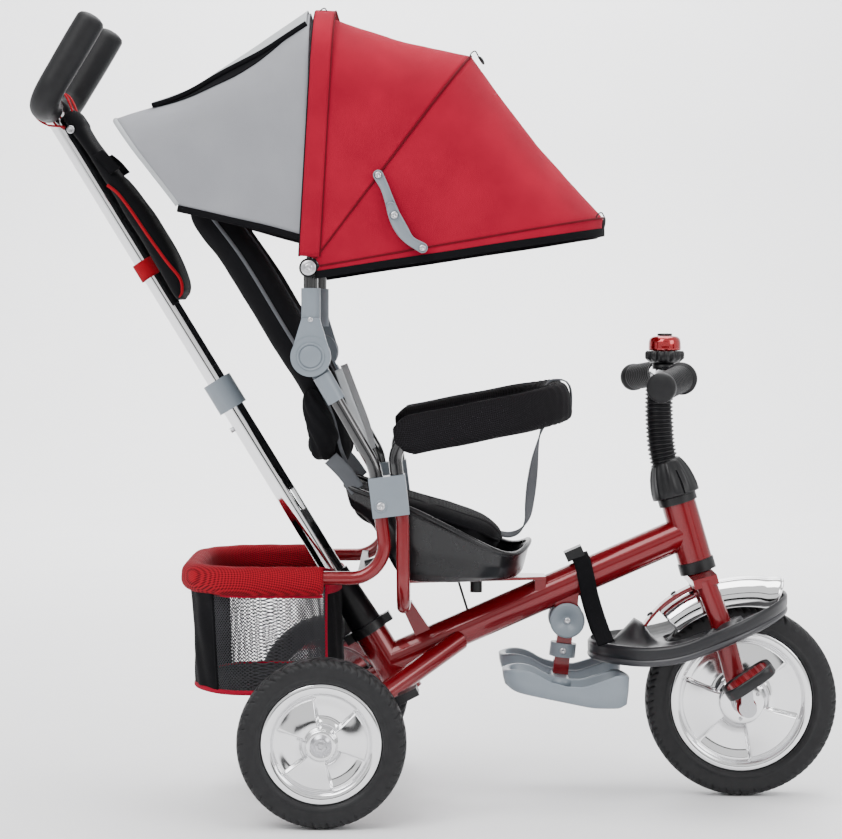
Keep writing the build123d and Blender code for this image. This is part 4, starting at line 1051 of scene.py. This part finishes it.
def make_backrest():
    def depth(u, v, sign):
        side = abs(2 * v - 1)
        wing = station(BACK, u)[2]
        centre = wing * 0.62
        body = mix(centre, wing, ease(0.55, 0.8, side)) - 20
        seams = -5.0 * math.exp(-((side - 0.6) / 0.03) ** 2) if sign > 0 else 0
        rows = 0
        if sign > 0 and side < 0.6:
            for line in (0.22, 0.42, 0.62, 0.8):
                rows -= 3.0 * math.exp(-((u - line) / 0.012) ** 2)
        gather = 2.6 * math.sin(38 * v + 5 * u) * ease(0.72, 0.9, u)
        p = back_place(u, v)
        return body + seams + rows + gather + 1.4 * noisy(p, 26, 4) + 0.7 * noisy(p, 70, 8)

    back = pillow("backrest_padded", back_place, (0.86, 0, 0.5), 20, M["back_cloth"], 84, 70, 8, 1.0, depth,
                  nodes=["backrest"], body="frame", subdivide=1)
    for side, v in (("near", 0.0), ("far", 1.0)):
        y = -1 if v == 0 else 1
        line = [back_place(mix(0.02, 0.985, i / 49), v) + Vector((0.002, y * 0.0005, 0)) for i in range(50)]
        tube(f"backrest_piping_{side}", line, 2.3, M["grey_webbing"], 8, body="frame")
        front = [back_place(mix(0.04, 0.96, i / 49), 0.2 if v == 0 else 0.8) + vec(17, 0,
                                                                                   9) for i in range(50)]
        tube(f"backrest_panel_piping_{side}", front, 1.6, M["grey_webbing"], 8, body="frame")
        # The gathered end of the lower roll and the strap from it to the clamp.
        roll = smooth_path([vec(-150, y * 60, 458), vec(-151, y * 92, 462), vec(-149, y * 112, 478),
                            vec(-158, y * 118, 505), vec(-167, y * 117, 535)], 46)
        tube(f"backrest_gather_{side}", roll,
             lambda t,
             a: 17 * math.sin(math.pi * min(1, t * 0.9 + 0.1)) ** 0.4 + 1.3 * math.sin(7 * a + 20 * t) + 1.0,
             M["back_cloth"], 40, body="frame", round_ends=0.5)
        strip = smooth_path([vec(-130, y * 120, 560), vec(-115, y * 124, 520), vec(-100, y * 128, 480),
                             vec(-92, y * 132, 446)], 30)
        strap(f"backrest_strap_{side}", strip, (0.9, y * 0.25, 0.35), 10, M["curtain_pale"], 1.6,
              "stretched",
              ["post_clamps"], body="frame")
        tail = smooth_path([vec(-140, y * 112, 448), vec(-122, y * 116, 430), vec(-106, y * 118, 408)], 24)
        strap(f"backrest_tail_{side}", tail, (0.75, 0, 0.66), 20, M["grey_webbing"], 1.6, "stretched",
              ["backrest_padded"], body="frame")


# ---------------------------------------------------------------- basket

def basket_wall(s, q):
    """The bag's wall: s round it from the rear middle by the near side, q from its floor to its rim."""
    inset = mix(30, 5, q ** 0.8)
    x_rear, x_front = mix(-316, -322, q), -129.0
    half = 150 - inset
    a = math.pi - s * TAU
    c, d = math.cos(a), math.sin(a)
    across, aside = squared(a, 0.52)
    x = (x_rear + x_front) / 2 + (x_front - x_rear) / 2 * across
    y = -half * aside
    if x > -140:
        x -= 35 * max(0, (q - 0.57) / 0.43) * (1 - ease(24, 40, abs(y)))
    sag = 3.0 * math.sin(math.pi * q) * math.sin(6 * a)
    return vec(x + 0.4 * sag * c, y + sag * d * 0.6, mix(153, 286, q) + 2 * math.sin(3 * a) * (1 - q))


WINDOWS = ((0.178, 0.372), (0.628, 0.822))


def make_basket():
    spans = (("rear", WINDOWS[1][1] - 1, WINDOWS[0][0]), ("front", WINDOWS[0][1], WINDOWS[1][0]))
    for name, s0, s1 in spans:
        def panel(u, v, s0=s0, s1=s1):
            p = basket_wall(mix(s0, s1, v) % 1.0, u)
            out = Vector((p.x + 0.225, p.y, 0)).normalized()
            fold = 1.6 * noisy(p, 30, 2) + 1.0 * math.sin(v * 34 + u * 5)
            return p + out * fold * MM
        cloth = surface(f"basket_bag_{name}", panel, 26, 90, M["back_cloth"], thickness=1.4, body="frame",
                        nodes=["basket_bag"] if name == "rear" else ())
        declare(panel)
    floor_ring = [basket_wall(i / 80, 0.0) for i in range(80)]
    verts = []
    for r in (1.0, 0.75, 0.5, 0.25):
        for p in floor_ring:
            verts.append(Vector((mix(-0.225, p.x, r), p.y * r, p.z - 0.003 * (1 - r))))
    faces = grid_faces(4, 80, False, True) + [tuple(240 + k for k in range(80))]
    floor = piece("basket_floor", verts, faces, M["back_cloth"], "frame", thickness=2.0)
    for index, (s0, s1) in enumerate(WINDOWS):
        side = ("near", "far")[index]
        verts, faces = [], []

        def thread(points):
            frames = transported(points, (0, 1, 0))
            first = len(verts)
            for p, (a, b) in zip(points, frames):
                for k in range(4):
                    t = TAU * k / 4
                    verts.append(p + (a * math.cos(t) + b * math.sin(t)) * 0.55 * MM)
            faces.extend(grid_faces(len(points), 4, False, True, first))

        width, height = 0.150, 0.133
        cells = 33
        rise = height / (width / cells)
        for k in range(-int(rise) - 1, cells + 1):
            for lean in (1, -1):
                points = []
                for j in range(31):
                    q = j / 30
                    across = (k + rise * q) / cells if lean == 1 else (k + rise * (1 - q)) / cells
                    if 0 <= across <= 1:
                        points.append(basket_wall(mix(s0, s1, across), q))
                if len(points) > 1:
                    thread(points)
        piece(f"basket_net_{side}", verts, faces, M["net"], "frame")
        for end, s in (("rear", s0 if index == 0 else s1), ("front", s1 if index == 0 else s0)):
            line = [basket_wall(s, i / 24) for i in range(25)]
            tube(f"basket_binding_{side}_{end}", line, 2.0, M["binding" if end == "rear" else "canopy"], 8,
                 body="frame")
    edge = [basket_wall(i / 120, 0.0) for i in range(120)]
    tube("basket_floor_piping", edge, 3.4, M["canopy"], 10, closed=True, body="frame")
    path = corner_path([vec(-149, -150, 300), vec(-318, -150, 300), vec(-318, 150, 300),
                        vec(-149, 150, 300)],
                       92, 150)

    def rim(t, angle):
        down = max(0.0, -math.cos(angle))
        end = min(t, 1 - t) / 0.01
        return (14.2 + 8.5 * down ** 1.6) * (0.86 + 0.14 * min(1, end)) + 0.25 * math.sin(t * 90)

    sleeve = tube("basket_rim_sleeve", path, rim, M["rim_cloth"], 36, side=(0, 0, 1), nodes=["basket_rim"],
                  body="frame", round_ends=0.15)
    tube("basket_rim_binding", [p + vec(0, 0, -23) for p in path], 2.2, M["canopy"], 8, body="frame")
    front = smooth_path([basket_wall(0.372 + 0.256 * i / 24, 1.0) for i in range(25)], 60)
    strap("basket_front_edge", front, (0, 0, 1), 18, M["canopy"], 3.0, "stretched", ["basket_bag_front"],
          body="frame")


# ---------------------------------------------------------------- push rod

ROD_FOOT = vec(-54, 0, 151.5)
ROD_RAKE = math.radians(58.66)
ROD_UP = Vector((-math.cos(ROD_RAKE), 0, math.sin(ROD_RAKE)))
ROD_SIDE = Vector((math.sin(ROD_RAKE), 0, math.cos(ROD_RAKE)))


def on_rod(s, side=0.0, y=0.0):
    return ROD_FOOT + ROD_UP * s * MM + ROD_SIDE * side * MM + Vector((0, y * MM, 0))


BAG = [  # along the rod, inner and outer distance from it, half width
    (853, 12, 18, 22), (848, 9, 30, 34), (832, 10, 32, 44), (806, 12, 31, 50), (760, 14, 35, 56),
    (716, 14, 40, 60), (682, 14, 43, 62), (625, 14, 42, 62), (584, 13, 34, 58), (573, 14, 24, 50),
       (570, 16, 19, 40)]


def make_push_rod():
    base = (-503.5, 892.5)
    tip = (-440.6, 997.5)
    for side, y in SIDES:
        path = corner_path([vec(tip[0], y * 105, tip[1]), vec(base[0], y * 105, base[1]),
                            vec(base[0], y * 36, base[1])], 54, 60)
        tube(f"handle_grip_foam_{side}", path, lambda t, a: 18.4 + 0.3 * math.sin(9 * t), M["foam"], 32,
             round_ends=0.45, side=(1, 0, 0), body="push_rod", nodes=["handle_grips"] if y < 0 else ())

    def bag_at(u, v):
        s, low, high, half = station(BAG, u)
        return on_rod(s, (low + high) / 2, half * (2 * v - 1))

    def bulge(u, v, sign):
        s, low, high, half = station(BAG, u)
        flap = 2.0 * ease(0.42, 0.435, u) - 2.0 * ease(0.22, 0.23, u) if sign > 0 else 0
        return (high - low) / 2 - 14 + 1.5 * noisy(bag_at(u, v), 28, 6) + flap

    bag = pillow("handle_bag_cloth", bag_at, ROD_SIDE, 14, M["back_cloth"], 70, 40, 7, 1.0, bulge,
                 nodes=["handle_bag"], body="push_rod", subdivide=1)
    for side, y in SIDES:
        seam = smooth_path([on_rod(s, r, y * w) for s, r, w in (
            (742, 16, 57.5), (726, 22, 59.5), (700, 25, 61), (660, 27, 62.5), (620, 30, 62.5), (592, 33, 59),
            (577, 26, 53), (574, 19, 48))], 60)
        tube(f"handle_bag_piping_{side}", seam, 2.0, M["red_webbing"], 8, body="push_rod")
        loop = smooth_path([on_rod(838, 18, y * 20), on_rod(850, 25, y * 24), on_rod(876, 27, y * 26),
                            on_rod(890, 10, y * 26), on_rod(885, -13, y * 26), on_rod(869, -19, y * 26),
                            on_rod(852, -13, y * 24), on_rod(838, 6, y * 20)], 60)
        strap(f"handle_bag_loop_{side}", loop, (0, 1, 0), 15, M["red_webbing"], 1.8, "stretched",
              [f"handle_grip_foam_{side}"], body="push_rod")
        eye = on_rod(828, 12, y * 45)
        lathe(f"handle_bag_eyelet_{side}", [(5.2, 0), (5.2, 1.2), (3.6, 1.8), (2.4, 1.0), (0.1, 0.8)], eye,
              (0, y, 0), M["steel"], 24, body="push_rod")
        tab = smooth_path([on_rod(784, 26, y * 54), on_rod(770, 31, y * 57), on_rod(752, 34, y * 58.5)], 16)
        strap(f"handle_bag_tab_{side}", tab, ROD_SIDE, 15, M["webbing"], 2.2, "stretched",
              ["handle_bag_cloth"],
              body="push_rod")
    ring = []
    for k in range(33):
        a = math.pi * (0.18 + 1.64 * k / 32)
        ring.append(on_rod(628, 15.2 * math.cos(a), 15.2 * math.sin(a)))
    ring = [on_rod(628, 24, 22)] + ring + [on_rod(628, 24, -22)]
    strap("handle_bag_rod_strap", ring, ROD_UP, 24, M["red_webbing"], 1.8, "stretched", ["rod_upper_tube"],
          body="push_rod")


# ---------------------------------------------------------------- steering

HEAD_RAKE = math.radians(16.4)
HEAD_UP = Vector((-math.sin(HEAD_RAKE), 0, math.cos(HEAD_RAKE)))


def on_head(s):
    return vec(332, 0, 308) + HEAD_UP * s * MM


def make_bar():
    outer, inner = vec(267, -214, 540), vec(307, -115, 551)
    for side, sign in (("right", 1), ("left", -1)):
        a = Vector((outer.x, outer.y * sign, outer.z))
        b = Vector((inner.x, inner.y * sign, inner.z))
        d = (b - a).normalized()
        profile = [(0.1, -5.5), (9, -5.2), (15.5, -4.4), (18, -2.4), (18.6, 0), (18.6, 6), (16.8, 8)]
        for k in range(13):
            z = 12 + k * 5.4
            profile += [(16.4, z), (17.4, z + 1.4), (17.4, z + 3.0), (16.4, z + 4.2)]
        profile += [(16.4, 84), (20.2, 85.5), (20.8, 88), (20.2, 91), (14, 92.5), (11.3, 92)]
        lathe(f"handlebar_grip_{side}", profile, a, d, M["foam"], 48, body="steer",
              nodes=["handlebar_grips"] if sign == 1 else ())

    bellows = smooth_path([vec(292.5, 0, 431), vec(290.5, 0, 440), vec(287, 0, 458), vec(285, 0, 482),
                           vec(284, 0, 505), vec(284.5, 0, 532)], 220)

    def ribs(t, angle):
        x = (t * 19) % 1.0
        return 15.2 + 3.6 * (1 - abs(2 * x - 1)) ** 0.8

    tube("stem_bellows", bellows, ribs, M["black_plastic"], 36, nodes=["stem_gaiter"], body="steer")

    def flutes(r, h, angle):
        wave = 0.5 + 0.5 * math.cos(9 * angle)
        return r + (1.6 * (1 - wave) ** 3 - 0.6) * ease(2, 8, h) * (1 - ease(40, 48, h))

    skirt = [(28.0, 0), (31.0, 0.3), (31.2, 3), (30.4, 10), (29.0, 19), (26.6, 29), (23.6, 37), (20.6, 43.5),
             (18.4, 47), (16.6, 48), (14.5, 48)]
    lathe("stem_skirt", skirt, on_head(88.8), HEAD_UP, M["black_plastic"], 108, flutes,
          nodes=["stem_shroud"],
          body="steer")
    slot = smooth_path([on_head(90) + vec(9, -30.4, 2.6), on_head(106) + vec(9, -28.6, 2.6),
                        on_head(122) + vec(7, -24, 2.0)], 20)
    tube("stem_skirt_split", slot, 0.9, M["binding"], 8, body="steer")

    bell = vec(288, -34, 566)
    ring = [(14, 0), (18, 0.2), (21.5, 2.5), (24.2, 6), (24.2, 13), (22.4, 15.6), (14, 15.9)]

    def ribbed(r, h, angle):
        return r + 1.3 * math.cos(16 * angle) * ease(3, 7, h) if r > 20 else r

    lathe("bell_twist_ring", ring, bell, (0, 0, 1), M["black_plastic"], 128, ribbed, nodes=["bell_ring"],
          body="bell_twist")
    dome = [(17, 16.2), (20.6, 16.4), (21.0, 18.5), (20.7, 27), (19.6, 31.2), (16.8, 34), (12.6, 35.2),
            (9.8, 35.3)]
    lathe("bell_dome", dome, bell, (0, 0, 1), M["bell"], 72, nodes=["bell_body"], body="steer")
    cap = [(9.6, 35.0), (9.6, 37.2), (8.8, 38.1), (4.0, 38.3), (0.1, 38.3)]
    lathe("bell_cap", cap, bell, (0, 0, 1), M["black_plastic"], 48, body="steer")
    base = [(15.5, -8), (16, -6), (16, -1), (11, 0)]
    lathe("bell_base", base, bell, (0, 0, 1), M["black_plastic"], 48, body="steer")


def make_fender():
    """The plated visor over the front wheel, its red carrier strip and clips."""
    def place(u, v):
        angle = math.radians(mix(71.6, 132.5, u))
        phi = math.radians(mix(-98, 98, v))
        flare = 4.5 * (1 - ease(0.0, 0.12, u)) + 2 * (1 - ease(0, 0.4, u))
        crown = 28 + 2.5 * (1 - ease(0.1, 0.5, u))
        r = 132 + flare + crown * squared(phi, 0.72)[0]
        y = 35 * math.sin(phi) * (1 + 0.05 * (1 - ease(0, 0.15, u)))
        return FRONT_HUB + Vector((math.cos(angle) * r, y, math.sin(angle) * r)) * MM

    surface("fender_visor", place, 46, 49, M["chrome"], nodes=["fender"], thickness=1.6, body="steer")
    rim_line = [place(0.0, i / 48) for i in range(49)]
    tube("fender_rolled_edge", rim_line, 1.5, M["chrome"], 8, body="steer")
    strip = smooth_path([vec(266, 0, 222), vec(274, 0, 233), vec(290, 0, 250), vec(308, 0, 263),
                         vec(327, 0, 273)], 44)
    band("fender_carrier", strip, (0, 1, 0), 24, M["red_paint"], 3.6, body="steer", bevel=0.8)
    for index, at in enumerate((8, 30)):
        spot = strip[at]
        screw(f"fender_screw_{index}", spot + vec(-1.5, 0, 2.2), (-0.6, 0, 0.8), 4, "black_plastic", "steer",
              2.6)


def heights(table, offsets):
    """A height over X through a table of (X, Z) pairs, its corners eased over the given offsets."""
    def at(x):
        total = 0.0
        for offset in offsets:
            q = min(max(x + offset, table[0][0]), table[-1][0] - 0.001)
            for (x0, z0), (x1, z1) in zip(table, table[1:]):
                if x0 <= q <= x1:
                    total += mix(z0, z1, (q - x0) / (x1 - x0))
                    break
        return total / len(offsets)
    return at


ring_base = heights([(180, 184), (262, 184), (301, 190), (330, 200), (452, 246), (470, 253)],
                    (-14, -7, 0, 7, 14))


def make_ring():
    steps = 200
    outer, inner = [], []
    for k in range(steps):
        a = TAU * k / steps
        outer.append((322 + 130 * math.cos(a), 118 * math.sin(a)))
        c, s = squared(a, 0.36)
        inner.append((367.5 + 75.5 * c, 43 * s))

    def height(x, y, d, total):
        rim = 17.5 + 4.8 * math.sin(math.pi * min(1, d / 9)) if d < 9 else mix(17.5, 11.5, ease(9, 22, d))
        lip = 3.5 * ease(total - 6, total - 1, d)
        hump = 37 * math.exp(-((x - 254) / 20) ** 2 - (y / 30) ** 2) * ease(2, 14, d)
        leg_x = 364.5
        reach = math.hypot((x - leg_x) * 0.9, abs(y) - 65)
        collar = 11 * (1 - ease(17, 25, reach))
        return ring_base(x) + rim + lip + hump + collar

    distances = [0.0, 1.2, 3, 6, 9, 13, 17, 22, 28]
    verts = []
    lower = [(4.5, 5.0), (1.2, 4.5), (0.2, 6.0), (0.0, 11.0), (0.0, 16.5)]
    for d, h in lower:
        for k in range(steps):
            (x0, y0), (x1, y1) = outer[k], inner[k]
            total = math.hypot(x1 - x0, y1 - y0)
            x, y = mix(x0, x1, d / total), mix(y0, y1, d / total)
            verts.append(vec(x, y, ring_base(x) + h))
    tops = []
    for j, d in enumerate(distances + [0.3, 0.45, 0.6, 0.75, 0.88, 0.96, 1.0]):
        for k in range(steps):
            (x0, y0), (x1, y1) = outer[k], inner[k]
            total = math.hypot(x1 - x0, y1 - y0)
            dist = min(d, total * 0.96) if j < len(distances) else mix(min(28, total * 0.96), total, d)
            x, y = mix(x0, x1, dist / total), mix(y0, y1, dist / total)
            tops.append((x, y, height(x, y, dist, total)))
            verts.append(vec(*tops[-1]))
    for j in (15, 13, 11, 8, 6, 4):
        for k in range(steps):
            x, y, z = tops[j * steps + k]
            verts.append(vec(x, y, z - 5.5))
    rows = len(verts) // steps
    piece("foot_ring_moulded", verts, grid_faces(rows, steps, True, True), M["ring"], "steer", ["foot_ring"])
    lip = []
    shrink = 0.965
    for x, y in outer:
        x2, y2 = 322 + (x - 322) * shrink, y * shrink
        lip.append(vec(x2, y2, ring_base(x2) + 1.5))
    tube("foot_ring_lip", lip, lambda t, a: 5.0, M["lip"], 16, closed=True, side=(0, 0, 1), body="steer")


def make_pedals():
    tilt = math.radians(34)
    xd, zd = Vector((math.cos(tilt), 0, math.sin(tilt))), Vector((-math.sin(tilt), 0, math.cos(tilt)))
    for side, sign, cx, cz in (("right", -1, 388.0, 167.8), ("left", 1, 396.0, 82.2)):
        centre = vec(cx, sign * 123, cz)
        body = f"pedal_{side[0]}"
        outline = []
        for k in range(72):
            c, s = squared(TAU * k / 72, 0.55)
            outline.append((35 * c, 35 * s))
        section = [(1.0, -5.5), (1.0, 5.0), (0.985, 6.6), (0.95, 7.2), (0.86, 7.0), (0.83, 6.0),
                   (0.83, -6.0),
                   (0.86, -7.0), (0.96, -7.0)]
        verts = []
        for scale, h in section:
            for x, y in outline:
                verts.append(centre + xd * x * scale * MM + Vector((0, y * scale * MM, 0)) + zd * h * MM)
        piece(f"pedal_tread_{side}", verts, grid_faces(len(section), 72, True, True), M["black_plastic"],
              body)
        verts, faces = [], []

        def brick(x0, x1, y0, y1, h0, h1):
            first = len(verts)
            for h in (h0, h1):
                for x, y in ((x0, y0), (x1, y0), (x1, y1), (x0, y1)):
                    verts.append(centre + xd * x * MM + Vector((0, y * MM, 0)) + zd * h * MM)
            for f in ((0, 1, 2, 3), (4, 5, 6, 7), (0, 1, 5, 4), (1, 2, 6, 5), (2, 3, 7, 6), (3, 0, 4, 7)):
                faces.append(tuple(first + i for i in f))

        brick(-29, 29, -29, 29, -3.4, 3.4)
        for k in range(-3, 4):
            brick(k * 8 - 1.4, k * 8 + 1.4, -28, 28, 3.4, 5.6)
            brick(-28, 28, k * 8 - 1.4, k * 8 + 1.4, 3.4, 5.2)
            brick(k * 8 - 1.4, k * 8 + 1.4, -28, 28, -5.6, -3.4)
        piece(f"pedal_platform_{side}", verts, faces, M["red"], body, [f"pedal_{side}"], smooth=False)


def make_steering_strap():
    path = smooth_path([vec(212, -60, 206), vec(208, -52, 216), vec(200, -38, 240), vec(193, -28, 265),
                        vec(188, -24.5, 288), vec(184, -19, 306), vec(181, -8, 314.5), vec(181, 8, 314.5),
                        vec(184, 19, 306), vec(188, 24.5, 288), vec(193, 28, 265), vec(200, 38, 240),
                        vec(208, 52, 216), vec(212, 60, 206)], 90)
    webbing = strap("steering_strap_webbing", path, (0.94, 0, 0.3), 22, M["webbing"], 1.8, "stretched",
                    ["foot_ring_moulded", "strap_buckle"], nodes=["steering_strap"])
    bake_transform(webbing)


def tray(name, centre, half, z_top, z_low, wall, material, body, nodes=()):
    """A small open tub: a rounded plan with top and bottom heights that change along X."""
    steps = 96
    loop = []
    for k in range(steps):
        c, s = squared(TAU * k / steps, 0.5)
        loop.append((half[0] * c, half[1] * s))
    w = wall / half[1]
    section = [(0.2, "low", 0), (0.7, "low", 0), (0.9, "low", 0.5), (0.965, "low", 3), (0.99, "mid", 0),
               (1.0, "top", -2.5), (1.0, "top", -0.6), (1 - 0.3 * w, "top", 0.4), (1 - 0.8 * w, "top", 0),
               (1 - w, "top", -2), (1 - 1.2 * w, "low", 8), (1 - 1.8 * w, "low", wall + 1),
               (0.6, "low", wall),
               (0.2, "low", wall)]
    verts = []
    for scale, kind, add in section:
        for x, y in loop:
            px = centre[0] + x * scale
            top, low = z_top(px), z_low(px)
            z = {"low": low, "top": max(top, low + 6), "mid": (top + low) / 2}[kind] + add
            verts.append(vec(px, centre[1] + y * scale, z))
    faces = grid_faces(len(section), steps, False, True)
    faces.append(tuple(range(steps)))
    faces.append(tuple((len(section) - 1) * steps + k for k in range(steps)))
    return piece(name, verts, faces, material, body, nodes)


def make_footrest():
    top = heights([(78, 176), (99, 179), (118, 175), (137, 163), (160, 157), (179, 156), (207, 165),
                   (227, 172),
                   (241, 166)], (-6, 0, 6))
    low = heights([(78, 158), (90, 151), (99, 148), (192, 129), (231, 127.5), (241, 131)], (-6, 0, 6))
    for side, sign in SIDES:
        tray(f"footrest_tray_{side}", (159, sign * 76), (81, 37), top, low, 4.5, M["grey"], "footrest",
             ["footrest_trays"] if sign < 0 else ())
        for k in range(4):
            x = 168 + 12 * k
            line = [vec(x, sign * (50 + 52 * j / 9), low(x) + 5.4) for j in range(10)]
            tube(f"footrest_grip_{side}_{k}", line, 1.6, M["grey"], 8, side=(0, 0, 1), body="footrest")
    bar = [vec(155, -46 + 92 * k / 20, 152) for k in range(21)]
    tube("footrest_crossbar", bar, lambda t, a: oval(a, 7, 12, 3), M["grey"], 28, side=(0, 0, 1),
         body="footrest")
    for side, sign in SIDES:
        disc = [(22.6, 0), (22.8, 2), (22.2, 3.0), (20.4, 3.4), (19.6, 3.0), (6.5, 3.0), (6.0, 1.6)]
        lathe(f"footrest_disc_{side}", disc, vec(164, sign * 22, 231), (0, sign, 0), M["grey"], 64,
              body="footrest")
        screw(f"footrest_screw_{side}", vec(164, sign * 23.4, 231), (0, sign, 0), 4.2, "steel", "footrest",
              2.4)
        screw(f"footrest_collar_screw_{side}", vec(158.7, sign * 16.5, 190.5), (0, sign, 0), 4.2, "steel",
              "footrest", 2.6)


# ---------------------------------------------------------------- links, hinges and screws

def link_plate(name, line, widths, y, material, body, nodes=()):
    """A moulded link with a raised edge, following a curved line of (X, Z) points at Y."""
    count = 40
    path = smooth_path([vec(x, 0, z) for x, z in line], count)
    outline = []
    for index, (p, (a, b)) in enumerate(zip(path, transported(path, (0, 1, 0)))):
        half = station([(w,) for w in widths], index / (count - 1))[0] / 2
        outline.append((p, b * half * MM))

    def round_end(k, other, turn):
        """Half a circle about the path's point k, away from the other."""
        p, n = outline[k]
        ahead = (path[k] - path[other]).normalized() * n.length
        angles = [math.pi * i / 8 for i in range(9)]
        return [(p, n * turn * math.cos(t) + ahead * math.sin(t)) for t in angles]

    ring = outline + round_end(-1, -2, 1) + [(p, -n) for p, n in reversed(outline)] + round_end(0, 1, -1)
    section = [(1.0, 0.0), (1.0, 3.2), (0.9, 4.0), (0.74, 4.0), (0.66, 2.6), (0.0, 2.6)]
    outward = math.copysign(1, y)
    verts = []
    for scale, lift in section:
        for p, n in ring:
            q = p + n * scale
            verts.append(Vector((q.x, (y + outward * lift) * MM, q.z)))
    faces = grid_faces(len(section), len(ring), False, True)
    faces.append(tuple(range(len(ring))))
    return piece(name, verts, faces, material, body, nodes)


def make_links():
    first, elbow, last = (-78.7, 800.9), (-59.0, 751.5), (-24.1, 711.3)
    for side, sign in SIDES:
        upper = [first, (-71, 786), (-65.5, 771), elbow]
        link_plate(f"stay_link_upper_{side}", upper, (13, 11, 12, 15), sign * 177.5, M["grey"], "stay_upper",
                   ["stay_upper_links"] if sign < 0 else ())
        lower = [(-63, 762), elbow, (-50.5, 735), (-40, 721), last]
        link_plate(f"stay_link_lower_{side}", lower, (12, 16, 16, 12, 13), sign * 180.6, M["grey"],
                   "stay_lower",
                   ["stay_lower_links"] if sign < 0 else ())
        pivot, hinge, clamp = PIVOT, (-163, 577), (-76, 391)
        screws = [  # name, X and Z, Y, radius, body and height
            ("stay_screw_top", first, 180.8, 4.2, "stay_upper", 2.6),
            ("stay_screw_elbow", elbow, 184.0, 4.6, "stay_lower", 2.6),
            ("stay_screw_low", last, 183.6, 4.2, "stay_lower", 2.6),
            ("canopy_pivot_screw", pivot, 177.8, 5.6, "canopy", 3),
            ("hinge_screw", (-163, 623), 161.8, 3.4, "canopy", 2.4),
            ("clamp_screw", clamp, 165.8, 5.4, "frame", 3.0)]
        for label, (x, z), y, radius, body, height in screws:
            screw(f"{label}_{side}", vec(x, sign * y, z), (0, sign, 0), radius, "steel", body, height)
        washer = [(9.4, 0), (9.4, 1.4), (8.8, 1.9), (3, 1.9)]
        lathe(f"canopy_pivot_washer_{side}", washer, vec(pivot[0], sign * 176.4, pivot[1]), (0, sign, 0),
              M["steel"], 40, body="canopy")
        for kind, rings in (("outer", [(17.5, 0), (17.5, 0.9), (16.6, 1.4), (15.6, 1.4), (14.9, 0.4)]),
                            ("inner", [(13.6, 0), (13.6, 1.2), (12.6, 1.8), (0.1, 1.9)])):
            lathe(f"hinge_{kind}_ring_{side}", rings, vec(hinge[0], sign * 164.0, hinge[1]), (0, sign, 0),
                  M["grey"], 64, body="canopy")
        lathe(f"clamp_screw_seat_{side}", [(8.2, 0), (8.2, 0.8), (7.2, 1.3), (5.6, 1.3)],
              vec(clamp[0], sign * 165.6, clamp[1]), (0, sign, 0), M["grey"], 40, body="frame")
        cap = [(19.3, 0), (19.3, 2.4), (17.8, 4.0), (13.5, 4.8), (13.0, 4.0), (0.1, 4.0)]
        lathe(f"rear_hub_cap_{side}", cap, vec(-148, sign * 241.5, 105), (0, sign, 0), M["plated"], 56,
              body=f"rear_wheel_{side[0]}")
        bolt = [(8.6, 0), (8.6, 6.0), (7.6, 7.4), (3.4, 8.0), (3.0, 5.0), (0.1, 5.0)]
        lathe(f"rear_hub_bolt_{side}", bolt, vec(-148, sign * 245.6, 105), (0, sign, 0), M["steel"], 6,
              body=f"rear_wheel_{side[0]}", smooth=False, bevel=0.5)


for build in (make_seat, make_guard, make_backrest, make_basket, make_push_rod, make_bar, make_fender,
              make_ring,
              make_pedals, make_steering_strap, make_footrest, make_links):
    build()
